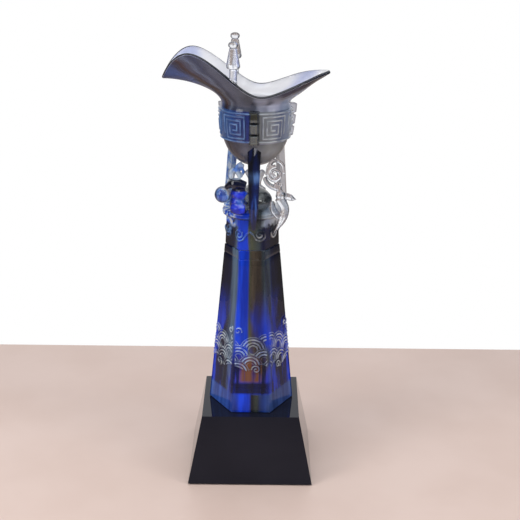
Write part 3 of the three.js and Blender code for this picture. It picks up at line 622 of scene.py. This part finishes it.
def glass(name, colour, clarity=1.0, roughness=0.015, wave=0.15, gloss=0.5, edge_shade=0.0):
    """Cast glass with a colour function as its tint.

    clarity is how much passes through it unscattered, or a function of the nodes and x that gives that. wave is how
    uneven its surface is, gloss how strongly it reflects, and the edge shade how dark it is painted where it turns
    away, a painted shade.
    """
    material, shader, nodes = principled(name)
    coordinates, x, y, z = nodes.place()
    tint = colour(nodes, coordinates, x, y, z)
    # Painted shade: the glass is darkened where it turns away from the camera.
    if edge_shade:
        facing = nodes.add("ShaderNodeLayerWeight").outputs["Facing"]
        tint = nodes.blend(nodes.between(facing, 0.15, 0.6, 0.0, edge_shade), tint, PAINTED_EDGE_SHADE)
    nodes.feed(shader.inputs["Base Color"], tint)
    nodes.feed(shader.inputs["Transmission Weight"], clarity(nodes, x) if callable(clarity) else clarity)
    shader.inputs["IOR"].default_value = 1.5
    shader.inputs["Specular IOR Level"].default_value = gloss
    shader.inputs["Roughness"].default_value = roughness
    swell = nodes.noise(coordinates, (1, 1, 0.45), 130, 1.0, 3.1)
    nodes.feed(shader.inputs["Normal"], nodes.bump(swell, wave, 0.0006))
    return material


def black_crystal():
    material, shader, nodes = principled("black_crystal")
    coordinates, *_ = nodes.place()
    cloud = nodes.noise(coordinates, (1, 1, 1), 14, 3.0, 0.4)
    smear = nodes.noise(coordinates, (1, 1, 1), 90, 2.0, 9.0)
    shades = [(0.3, (0.006, 0.007, 0.014)), (0.7, (0.011, 0.012, 0.021))]
    nodes.feed(shader.inputs["Base Color"], nodes.ramp(cloud, shades))
    nodes.feed(shader.inputs["Roughness"], nodes.between(smear, 0.2, 0.9, 0.02, 0.07))
    shader.inputs["IOR"].default_value = 1.33
    return material


def felt():
    material, shader, nodes = principled("felt")
    coordinates, *_ = nodes.place()
    fibre = nodes.noise(coordinates, (1, 1, 1), 2600, 4.0)
    shades = [(0.35, (0.008, 0.008, 0.01)), (0.7, (0.03, 0.03, 0.034))]
    nodes.feed(shader.inputs["Base Color"], nodes.ramp(fibre, shades))
    nodes.feed(shader.inputs["Normal"], nodes.bump(fibre, 0.8, 0.0003))
    shader.inputs["Roughness"].default_value = 0.95
    shader.inputs["Sheen Weight"].default_value = 0.4
    return material


def adhesive():
    material, shader, nodes = principled("adhesive")
    coordinates, *_ = nodes.place()
    bubbles = nodes.noise(coordinates, (1, 1, 1), 900, 2.0)
    shades = [(0.4, (0.5, 0.6, 0.8)), (0.7, (0.62, 0.7, 0.86))]
    nodes.feed(shader.inputs["Base Color"], nodes.ramp(bubbles, shades))
    nodes.feed(shader.inputs["Normal"], nodes.bump(bubbles, 0.3, 0.0002))
    shader.inputs["Roughness"].default_value = 0.25
    return material


MATERIALS = {
    "column": glass("column_glass", column_colour, 0.4, gloss=0.06),
    "collar": glass("collar_glass", collar_colour, 0.45, gloss=0.12),
    "cup": glass("cup_glass", cup_colour, 0.5, 0.02, 0.08, 0.2),
    "leg": glass("leg_glass", leg_colour, leg_clarity, wave=0.3, edge_shade=0.6),
    "flange": glass("flange_glass", flange_colour, 0.6, wave=0.2, edge_shade=0.5),
    "orb": glass("orb_glass", flat_colour((0.42, 0.46, 0.42), (0.25, 0.29, 0.32)), 0.9, edge_shade=0.8),
    "clear": glass("clear_glass", flat_colour(CLEAR, (0.86, 0.88, 0.95)), wave=0.35, edge_shade=0.9),
    "scroll": glass("scroll_glass", scroll_colour, 0.55, wave=0.3, edge_shade=0.6),
    "pearl": glass("pearl_glass", pearl_colour, 0.7, edge_shade=0.8),
    "black": black_crystal(),
    "felt": felt(),
    "adhesive": adhesive(),
}


def keep(node, material, bevel=0.0):
    """A CAD node that stays, with a finish and softened edges."""
    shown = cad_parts[node]
    shown.data.materials.clear()
    shown.data.materials.append(MATERIALS[material])
    if bevel:
        rounding = shown.modifiers.new("edges", "BEVEL")
        rounding.width = bevel * MM
        rounding.segments = 3
        rounding.limit_method = "ANGLE"
        rounding.angle_limit = math.radians(25)
    return shown


# ---- Base ----
keep("base_block", "black", 0.5)
keep("felt_pad", "felt", 0.3)
keep("base_adhesive", "adhesive")
keep("collar_adhesive", "adhesive")


# ---- Column: a hexagon with small bright edges, and waves in relief ----
HALF_TURN = math.pi
SIDE_TURN = math.atan((1 - FRONT_SHARE) / DEPTH_SHARE)
SIDE_SHARE = math.cos(SIDE_TURN)
SIDE_WIDTH = math.hypot(1 - FRONT_SHARE, DEPTH_SHARE)
# Each face's azimuth, its distance from the axis and its width, both over half the column's width.
PRISM_FACES = [
    (-HALF_TURN / 2, DEPTH_SHARE, 2 * FRONT_SHARE),
    (-SIDE_TURN, SIDE_SHARE, SIDE_WIDTH),
    (SIDE_TURN, SIDE_SHARE, SIDE_WIDTH),
    (HALF_TURN / 2, DEPTH_SHARE, 2 * FRONT_SHARE),
    (HALF_TURN - SIDE_TURN, SIDE_SHARE, SIDE_WIDTH),
    (HALF_TURN + SIDE_TURN, SIDE_SHARE, SIDE_WIDTH),
]
# Middle across a face, height above the column's foot and radius. An earlier wave hides the later ones.
WAVES = [
    (7.6, 30.6, 6.6),
    (-10.4, 30.2, 9.4),
    (16.4, 33.2, 8.2),
    (-0.6, 35.4, 8.8),
    (-17.4, 37.6, 8.8),
    (9.6, 39.8, 8.8),
    (-9.2, 42.2, 9),
    (18, 44, 8.6),
    (1.4, 47.4, 9.8),
    (-15.4, 49, 7),
    (11.4, 51.6, 8.2),
]
# Middle, radius, turns, start and hand of each curl.
CURLS = [
    ((3.6, 32.8), 3.2, 1.3, 1.2, 1),
    ((-9.4, 61.6), 2.8, 1.1, 0.3, -1),
    ((-13.4, 56.4), 2.2, 1.0, 2.4, 1),
]
CURL_RIM = 0.7  # the pad under a curl reaches this far past it
SHORELINE = 33
FACE_POINTS = 97
ROW_STEP = 0.28
RELIEF_SPAN = (28, 66)
CORNER = 0.5
GROOVE_DROP = 6.3  # from the column's head to the groove round it


def wave_relief(x, z, turn):
    """Height of the relief, and its raised lines, at x across a face and z up it."""
    height = np.zeros(np.broadcast(x, z).shape)
    lines = np.zeros(height.shape)
    claimed = np.zeros(height.shape, bool)
    flip = -1 if turn % 2 else 1
    lift = z - column_foot
    shore = SHORELINE + 2 * np.sin(0.3 * flip * x - 1)
    for spot, rise, reach in WAVES:
        away = np.hypot(x - flip * spot, lift - rise)
        inside = (away < reach) & ~claimed & (lift > shore)
        rings = 0.5 + 0.5 * np.cos(TURN * (reach - away) / WAVE_LINE)
        edge = smooth((reach - away) / 0.4) * smooth((lift - shore) / 1.2)
        ringed = smooth((away / reach - 0.2) / 0.2)
        height = np.where(inside, edge * (0.2 + WAVE_DEPTH * rings * ringed), height)
        lines = np.where(inside, edge * ringed * rings**1.5, lines)
        claimed |= inside
    for (spot, rise), radius, turns, start, hand in CURLS:
        middle = (flip * spot, rise)
        away = distance_to_path(x, lift + 0 * x, spiral(middle, radius, turns, start, hand * flip))
        from_pad = radius + CURL_RIM - np.hypot(x - middle[0], lift - middle[1])
        line = ridge(away, 0.35, 0.5)
        near = from_pad > 0
        height = np.where(near, 0.3 * smooth(from_pad / CURL_RIM) + 0.8 * line, height)
        lines = np.where(near, line, lines)
    return height, lines


def column():
    """Each face is a grid, and a narrow facet joins it to the next."""
    across = np.linspace(-1, 1, FACE_POINTS)
    relief_foot, relief_head = column_foot + RELIEF_SPAN[0], column_foot + RELIEF_SPAN[1]
    zs = np.concatenate(
        [
            [column_foot + 0.05, column_foot + 0.35],
            np.linspace(column_foot + 0.8, relief_foot, 8, endpoint=False),
            np.arange(relief_foot, relief_head, ROW_STEP),
            np.linspace(relief_head, column_head - 7, 12),
            column_head - np.array([6.6, 6.4, 6.2, 5.8, 3, 1, 0.5, 0.15]),
        ]
    )
    rings, relief = [], []
    for z in zs:
        radius = mix(foot_radius, head_radius, (z - column_foot) / (column_head - column_foot))
        radius -= 0.3 * max(0, 1 - (z - column_foot) / 0.35)
        radius -= 0.3 * max(0, 1 - (column_head - z) / 0.5)
        radius -= 0.35 * float(ridge(abs(z - (column_head - GROOVE_DROP)), 0.25, 0.3))
        ring = []
        for turn, (azimuth, distance, width) in enumerate(PRISM_FACES):
            half = radius * width / 2 - CORNER
            x = across * half
            height, lines = wave_relief(x, z, turn)
            fade = smooth((half - abs(x)) / 0.8)
            out = radius * distance + height * fade
            relief.append(lines * fade)
            turned = polar(out, azimuth, z + 0 * x)
            sideways = x[:, None] * np.array([-math.sin(azimuth), math.cos(azimuth), 0])
            ring.append(turned + sideways)
        rings.append(np.vstack(ring))
    return loft("column_shaft", rings, MATERIALS["column"], ["column"], 40, np.concatenate(relief))


column()


# ---- Collar: the column's hexagon goes on, with spiral clouds and a round rim ----
CLOUD_COUNT = 8
CLOUD_TURN = math.radians(-118)
CLOUD_RADIUS = 4.4
CLOUD_SHARE = 0.42  # of the collar's height, up to the clouds' middle line
SHARPNESS = 56  # of the hexagon's corners
COLLAR_COLUMNS = 600
LOBES = 12


def hexagon_reach(azimuth):
    """How far the hexagon reaches along an azimuth over half its width, with softened corners."""
    total = np.zeros(len(azimuth))
    for turn, distance, _ in PRISM_FACES:
        total += np.maximum(np.cos(azimuth - turn) / distance, 0) ** SHARPNESS
    return total ** (-1 / SHARPNESS)


def collar_clouds(azimuth, up):
    """Spiral clouds: how raised the relief is along azimuths, at a height above the clouds' middle line."""
    height = np.zeros(len(azimuth))
    for cloud in range(CLOUD_COUNT):
        middle = CLOUD_TURN + cloud * TURN / CLOUD_COUNT
        along = ((azimuth - middle + math.pi) % TURN - math.pi) * head_radius
        hand = -1 if cloud % 2 else 1
        path = spiral((0, 0), CLOUD_RADIUS, 1.6, math.pi / 2, hand)
        tail = [path[-1] + (hand * 2.4, 3.6), path[-1] + (hand * 4.6, 5.4)]
        away = distance_to_path(along, up + 0 * along, np.vstack([path, tail]))
        height = np.maximum(height, ridge(away, 0.55, 0.7))
    return height


def collar():
    """The hexagon with its clouds, and the lobed round rim on top."""
    azimuth = np.linspace(0, TURN, COLLAR_COLUMNS, endpoint=False)
    hexagon = hexagon_reach(azimuth)
    rim_foot = deck - RIM_HEIGHT
    body_head = rim_foot - 0.9
    cloud_line = collar_foot + CLOUD_SHARE * (deck - collar_foot)
    zs = [collar_foot + 0.05, collar_foot + 0.4, *np.arange(collar_foot + 0.9, body_head, ROW_STEP)]
    rings, relief = [], []
    for z in zs:
        radius = head_radius - COLLAR_TAPER * (z - collar_foot) / (deck - collar_foot)
        radius -= 0.4 * max(0, 1 - (z - collar_foot) / 0.4)
        fade = float(smooth((z - collar_foot - 1.2) / 1.5) * smooth((body_head - z) / 1.2))
        lines = collar_clouds(azimuth, z - cloud_line) * fade
        rings.append(polar(hexagon * radius + lines, azimuth, z))
        relief.append(lines)
    lobes = 0.5 + 0.5 * np.cos(LOBES * azimuth)
    for radius, z in [
        (RIM_RADIUS - 1.6, rim_foot - 0.4),
        (RIM_RADIUS - 0.5, rim_foot + 0.5),
        (RIM_RADIUS, rim_foot + 1.6),
        (RIM_RADIUS - 0.5, rim_foot + 2.3),
        (RIM_RADIUS, rim_foot + 3),
        (RIM_RADIUS - 0.3, deck - 0.5),
        (RIM_RADIUS - 1.1, deck),
        (RIM_RADIUS - 4, deck),
    ]:
        rings.append(polar(radius - 0.25 * lobes, azimuth, z))
        relief.append(np.full(len(azimuth), 0.15))
    return loft("collar_relief", rings, MATERIALS["collar"], ["collar"], 35, relief)


collar()


# ---- Cup ----
RIM_STEPS = 40
RIM_SOFTENING = 700
CUP_COLUMNS = 450
BAND_STEP = 0.34
FLARE_ROWS = 45
UNDERSIDE_ROWS = 32
WELL_ROWS = 28
LIP_ANGLES = 9
INSIDE, ON_RIM = -0.5, -1  # what the relief attribute holds there


def rim_line():
    """The mouth's rim, closed, from the spout's tip round the near side to the tail's tip and back."""
    spout, tail, wide = spout_reach, tail_reach, MOUTH_HALF_WIDTH
    low, tip, crest, end = SADDLE_LIFT, SPOUT_TIP_LIFT, SPOUT_CREST_LIFT, TAIL_TIP_LIFT
    half = [
        (-spout, 0, tip),
        (-0.956 * spout, 0.26 * wide, mix(tip, crest, 0.36)),
        (-0.87 * spout, 0.48 * wide, mix(tip, crest, 0.74)),
        (-0.765 * spout, 0.65 * wide, crest - 0.6),
        (-0.63 * spout, 0.745 * wide, crest - 0.6),
        (-0.45 * spout, 0.8 * wide, mix(low, crest, 0.72)),
        (-0.25 * spout, 0.88 * wide, mix(low, crest, 0.35)),
        (-0.062 * spout, 0.97 * wide, mix(low, crest, 0.05)),
        (0.12 * tail, wide, low),
        (0.36 * tail, 0.94 * wide, mix(low, end, 0.31)),
        (0.6 * tail, 0.82 * wide, mix(low, end, 0.67)),
        (0.77 * tail, 0.52 * wide, mix(low, end, 0.86)),
        (0.9 * tail, 0.24 * wide, mix(low, end, 0.97)),
        (tail, 0, end),
    ]
    near = [(x, -y, z) for x, y, z in half]
    far = half[1:-1][::-1]
    points = near + far
    # Three more points before and four after let the curve close without a kink.
    wrapped = points[-3:] + points + points[:4]
    fine = curve_through(wrapped, (len(wrapped) - 1) * RIM_STEPS + 1)
    fine = fine[3 * RIM_STEPS : (3 + len(points)) * RIM_STEPS]
    for _ in range(RIM_SOFTENING):
        fine = (np.roll(fine, 1, axis=0) + 2 * fine + np.roll(fine, -1, axis=0)) / 4
    return fine + np.array([0, 0, throat])


def meander_paths():
    """Middle and path of each square spiral on the band."""
    width, height, pitch = MEANDER_WIDTH, MEANDER_HEIGHT, MEANDER_PITCH
    paths = []
    for leg, turn in enumerate(LEG_TURNS):
        following = (*LEG_TURNS, LEG_TURNS[0] + 360)[leg + 1]
        quarter = (math.radians(following - turn) - FLANGE_WIDTH / BAND_RADIUS) / 4
        for hand in (-1, 1):
            azimuth = math.radians((turn + following) / 2) + hand * quarter
            path = []
            half_x, half_y = width / 2, height / 2
            path.append((-hand * half_x, -half_y + pitch))
            while half_y > 0.6:
                path += [(-hand * half_x, half_y), (hand * half_x, half_y), (hand * half_x, -half_y)]
                path += [(-hand * (half_x - pitch), -half_y)]
                half_x -= pitch
                half_y -= pitch
            paths.append((azimuth, path))
    return paths


def band_relief(azimuth, z):
    """How raised the band is along azimuths at one height: its square spirals and its two edges."""
    middle = band_foot + BAND_HEIGHT / 2
    height = np.zeros(len(azimuth))
    for turn, path in meander_paths():
        along = ((azimuth - turn + math.pi) % TURN - math.pi) * BAND_RADIUS
        away = distance_to_path(along, z - middle + 0 * along, path)
        height = np.maximum(height, ridge(away, 0.5, 0.5))
    for edge in (band_foot + 1.0, band_foot + BAND_HEIGHT - 1.0):
        height = np.maximum(height, float(ridge(abs(z - edge), 0.5, 0.6)))
    return height


# The outline under the band, and the inside's below the throat, from the middle out and from the throat down.
UNDERSIDE = [(0.02, 0), (0.34, 0.06), (0.6, 0.24), (0.83, 0.54), (0.96, 0.84), (1, 1)]
WELL = [
    (THROAT_RADIUS - WALL, throat - 0.3),
    (BOWL_RADIUS - WALL + 0.6, band_foot + BAND_HEIGHT * 0.4),
    (BOWL_RADIUS - WALL - 1.2, band_foot),
    (0.66 * BOWL_RADIUS, bowl_foot + BOWL_FLOOR + 4.4),
    (0.36 * BOWL_RADIUS, bowl_foot + BOWL_FLOOR + 0.9),
    (0.02 * BOWL_RADIUS, bowl_foot + BOWL_FLOOR),
]


def cup_rings():
    """Rings of the cup's closed surface from under its bottom over the rim to the bottom of its inside."""
    azimuth = np.linspace(0, TURN, CUP_COLUMNS, endpoint=False)
    rim = rim_line()
    angles = np.arctan2(rim[:, 1], rim[:, 0]) % TURN
    order = np.argsort(angles)
    end = np.column_stack([np.interp(azimuth, angles[order], rim[order, i], period=TURN) for i in range(3)])
    turn = np.arctan2(end[:, 1], end[:, 0])
    start = polar(THROAT_RADIUS, turn, throat)
    reach = np.linalg.norm(end - start, axis=1)[:, None]
    tip_rise = np.where(end[:, 0] < 0, 0, TAIL_RISE)
    rise = np.radians(mix(tip_rise, SIDE_RISE, smooth(abs(end[:, 1]) / (0.8 * MOUTH_HALF_WIDTH))))
    arrival = np.stack([np.cos(turn) * np.cos(rise), np.sin(turn) * np.cos(rise), np.sin(rise)], axis=-1)
    leave = start + np.array([0, 0, 0.16]) * reach
    arrive = end - 0.46 * reach * arrival

    def flare(share):
        """A ring of the mouth's outside, on curves that leave the throat upright and arrive along the rim's rise."""
        rest = 1 - share
        return (
            rest**3 * start
            + 3 * rest**2 * share * leave
            + 3 * rest * share**2 * arrive
            + share**3 * end
        )

    shares = np.linspace(0, 1, FLARE_ROWS)
    outside = np.array([flare(s) for s in shares])
    along = np.roll(outside, -1, axis=1) - np.roll(outside, 1, axis=1)
    up = np.gradient(outside, axis=0)
    normal = np.cross(along, up)
    normal /= np.linalg.norm(normal, axis=2)[:, :, None]
    wall = mix(WALL, LIP, smooth(shares * 1.6))[:, None, None]
    inside = outside - normal * wall

    rings, relief = [], []

    def add(ring, raised=0.0):
        rings.append(ring + np.array([VESSEL_SHIFT, 0, 0]))
        relief.append(np.zeros(CUP_COLUMNS) + raised)

    under = curve_through([(share * BOWL_RADIUS, lift * BAND_FOOT) for share, lift in UNDERSIDE], UNDERSIDE_ROWS)
    for radius, z in under:
        add(polar(radius, turn, bowl_foot + z))
    for z in np.arange(band_foot + 0.15, band_foot + BAND_HEIGHT, BAND_STEP):
        share = (z - band_foot) / BAND_HEIGHT
        radius = BAND_RADIUS - BAND_TAPER * (1 - share) ** 2
        step = smooth((z - band_foot) / 0.7) * smooth((band_foot + BAND_HEIGHT - z) / 0.7)
        inner = mix(BOWL_RADIUS, THROAT_RADIUS, share)
        raised = band_relief(turn, z) * step
        add(polar(mix(inner, radius, step) + MEANDER_PROUD * raised, turn, z), raised)
    for ring in outside[1:]:
        add(ring)
    edge_out, edge_in = outside[-1], inside[-1]
    middle, half = (edge_out + edge_in) / 2, (edge_out - edge_in) / 2
    beyond = outside[-1] - outside[-2]
    beyond /= np.linalg.norm(beyond, axis=1)[:, None]
    for angle in np.linspace(0, math.pi, LIP_ANGLES)[1:-1]:
        add(middle + math.cos(angle) * half + math.sin(angle) * 0.4 * LIP * beyond, ON_RIM)
    for ring in inside[::-1]:
        add(ring, INSIDE)
    well = curve_through(WELL, WELL_ROWS)
    for radius, z in well[1:]:
        add(polar(radius, turn, z), INSIDE)
    return rings, relief


rings, relief = cup_rings()
loft("cup", rings, MATERIALS["cup"], ["cup_bowl"], 60, relief)

# ---- Legs and flanges ----
FLANGE_ROWS = 130
FLANGE_BLOCKS = 3
FLANGE_PROUD = 5.6
FLANGE_ROOT = 1.4  # how deep a flange's root sits under the band's surface
# Across a flange and out from its root, both as shares of its size.
FLANGE_SECTION = [
    (-1, 0),
    (-1, 0.5),
    (-0.86, 0.86),
    (-0.72, 1),
    (0.72, 1),
    (0.86, 0.86),
    (1, 0.5),
    (1, 0),
]


def flange(side, turn):
    """A toothed ridge: blocks with rounded edges and narrow gaps, wider at its root than at its crest."""
    low, high = box(f"flange_{side}")
    foot, head = low[2] + 0.3, high[2] - 0.2
    azimuth = math.radians(turn)
    out = np.array([math.cos(azimuth), math.sin(azimuth), 0])
    right = np.array([-math.sin(azimuth), math.cos(azimuth), 0])
    rings, relief = [], []
    for z in np.linspace(foot, head, FLANGE_ROWS):
        share = (z - foot) / (head - foot)
        block = share * FLANGE_BLOCKS % 1
        tooth = float(smooth(block / 0.16) * smooth((1 - block) / 0.16))
        proud = FLANGE_PROUD * mix(0.72, 1, share)
        band = BAND_RADIUS - BAND_TAPER * (1 - share) ** 2
        root = mix(BOWL_RADIUS - 0.4, band - FLANGE_ROOT, min(1, share / 0.1))
        crest = band + proud * mix(0.62, 1, tooth)
        half = mix(3.0, 3.4, 1 - tooth * 0.3)
        ends = float(smooth(share / 0.03) * smooth((1 - share) / 0.03))
        ring = []
        for across, depth in FLANGE_SECTION:
            reach = mix(root, crest, depth * mix(0.4, 1, ends))
            wide = across * half * mix(1.12, 0.92, depth) * mix(0.7, 1, ends)
            ring.append(out * reach + right * wide + np.array([VESSEL_SHIFT, 0, z]))
        rings.append(ring)
        relief.append([tooth if depth > 0.6 else 0.35 * tooth for _, depth in FLANGE_SECTION])
    return loft(f"ridge_{side}", rings, MATERIALS["flange"], [f"flange_{side}"], 40, relief)


for side, turn in zip(("front", "right", "left"), LEG_TURNS):
    keep(f"leg_{side}", "leg", 0.5)
    flange(side, turn)


# ---- Scrolls, ball, dome and posts ----
def melted(name, node, material, voxel=0.35, passes=14):
    """A copy of a CAD node with its facets melted into one smooth casting."""
    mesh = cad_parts[node].data.copy()
    mesh.name = name
    mesh.materials.clear()
    mesh.materials.append(MATERIALS[material])
    made = bpy.data.objects.new(name, mesh)
    bpy.context.scene.collection.objects.link(made)
    remesh = made.modifiers.new("melt", "REMESH")
    remesh.mode = "VOXEL"
    remesh.voxel_size = voxel * MM
    remesh.use_smooth_shade = True
    soften = made.modifiers.new("soften", "SMOOTH")
    soften.iterations = passes
    soften.factor = 0.6
    bpy.context.view_layer.update()
    graph = bpy.context.evaluated_depsgraph_get()
    finished = bpy.data.meshes.new_from_object(made.evaluated_get(graph), depsgraph=graph)
    made.modifiers.clear()
    made.data = finished
    if not finished.materials:
        finished.materials.append(MATERIALS[material])
    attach(made, ROOT)
    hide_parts(node)
    return made


melted("clouds_right", "scroll_right", "clear")
melted("clouds_left", "scroll_left", "scroll")
melted("clouds_back", "scroll_back", "scroll")
melted("ball", "pearl", "pearl")
melted("dome", "orb", "orb", 0.5, 20)
for side in ("near", "far"):
    melted(f"pillar_{side}", f"post_{side}", "clear", 0.25, 8)
    melted(f"knob_{side}", f"post_cap_{side}", "clear", 0.25, 6)


# ---- Floor, light and camera, in metres ----
FLOOR_HALF_WIDTH = 0.9
FLOOR_NEAR, FLOOR_FAR = -1.1, 0.211
FLOOR_THICKNESS = 0.03


def floor():
    """A pale table top that ends behind the trophy."""
    wide, near, far = FLOOR_HALF_WIDTH, FLOOR_NEAR, FLOOR_FAR
    points = [(-wide, near), (wide, near), (wide, far), (-wide, far)]
    corners = [(x, y, z) for z in (0, -FLOOR_THICKNESS) for x, y in points]
    faces = [(0, 1, 2, 3), (7, 6, 5, 4), (0, 4, 5, 1), (1, 5, 6, 2), (2, 6, 7, 3), (3, 7, 4, 0)]
    mesh = bpy.data.meshes.new("floor")
    mesh.from_pydata(corners, [], faces)
    material, shader, nodes = principled("floor")
    coordinates, *_ = nodes.place()
    grain = nodes.noise(coordinates, (1, 1, 1), 12, 3.0)
    shades = [(0.3, (0.62, 0.47, 0.40)), (0.7, (0.66, 0.51, 0.44))]
    nodes.feed(shader.inputs["Base Color"], nodes.ramp(grain, shades))
    shader.inputs["Roughness"].default_value = 0.5
    mesh.materials.append(material)
    made = bpy.data.objects.new("floor", mesh)
    bpy.context.scene.collection.objects.link(made)


def studio():
    """White for the background. The glass sees a bright backdrop with dark sides, and a dim room in front."""
    world = bpy.data.worlds.new("studio")
    bpy.context.scene.world = world
    world.use_nodes = True
    nodes = Nodes(world.node_tree)
    shade = world.node_tree.nodes["Background"]
    parts = nodes.add("ShaderNodeSeparateXYZ")
    nodes.feed(parts.inputs[0], nodes.add("ShaderNodeTexCoord").outputs["Generated"])
    x, y, z = parts.outputs
    sides = nodes.between(nodes.math("ABSOLUTE", x), 0.5, 0.68)
    sky = nodes.blend(sides, (1.0, 1.0, 1.0), (0.06, 0.07, 0.10))
    sky = nodes.blend(nodes.between(y, -0.1, -0.5), sky, (0.16, 0.17, 0.2))
    sky = nodes.blend(nodes.between(z, 0.3, 0.7), sky, (0.75, 0.78, 0.84))
    sky = nodes.blend(nodes.between(z, -0.05, -0.3), sky, (0.4, 0.34, 0.31))
    camera_ray = nodes.add("ShaderNodeLightPath").outputs["Is Camera Ray"]
    nodes.feed(shade.inputs["Color"], nodes.blend(camera_ray, sky, (1, 1, 1)))
    shade.inputs["Strength"].default_value = 1.0


LIGHTS_AIM = (0, 0, 0.17)


def softbox(name, place, size, power):
    data = bpy.data.lights.new(name, "AREA")
    data.shape = "RECTANGLE"
    data.size, data.size_y = size
    data.energy = power
    light = bpy.data.objects.new(name, data)
    light.location = place
    direction = Vector(LIGHTS_AIM) - Vector(place)
    light.rotation_euler = direction.to_track_quat("-Z", "Y").to_euler()
    bpy.context.scene.collection.objects.link(light)


CAMERA_PLACE = (5.7, -751.3, 409.5)  # in millimetres
CAMERA_TILT = 18.53  # downwards, in degrees
CAMERA_ROLL = 0.6
CAMERA_LENS = 76.2


def camera():
    data = bpy.data.cameras.new("camera")
    data.lens = CAMERA_LENS
    data.sensor_width = 36
    data.clip_start, data.clip_end = 0.01, 20
    made = bpy.data.objects.new("camera", data)
    pitch = Matrix.Rotation(math.radians(90 - CAMERA_TILT), 4, "X")
    roll = Matrix.Rotation(math.radians(CAMERA_ROLL), 4, "Z")
    made.matrix_world = Matrix.Translation([c * MM for c in CAMERA_PLACE]) @ pitch @ roll
    bpy.context.scene.collection.objects.link(made)
    bpy.context.scene.camera = made


floor()
studio()
softbox("left_light", (-0.55, -0.4, 0.5), (0.3, 0.6), 2.6)
softbox("right_light", (0.6, -0.35, 0.45), (0.2, 0.6), 1.4)
softbox("top_light", (0.0, -0.25, 0.9), (0.6, 0.4), 2.2)
camera()

view = bpy.context.scene.view_settings
view.view_transform = "Standard"
cycles = bpy.context.scene.cycles
cycles.max_bounces = 20
cycles.transmission_bounces = 20
cycles.glossy_bounces = 8
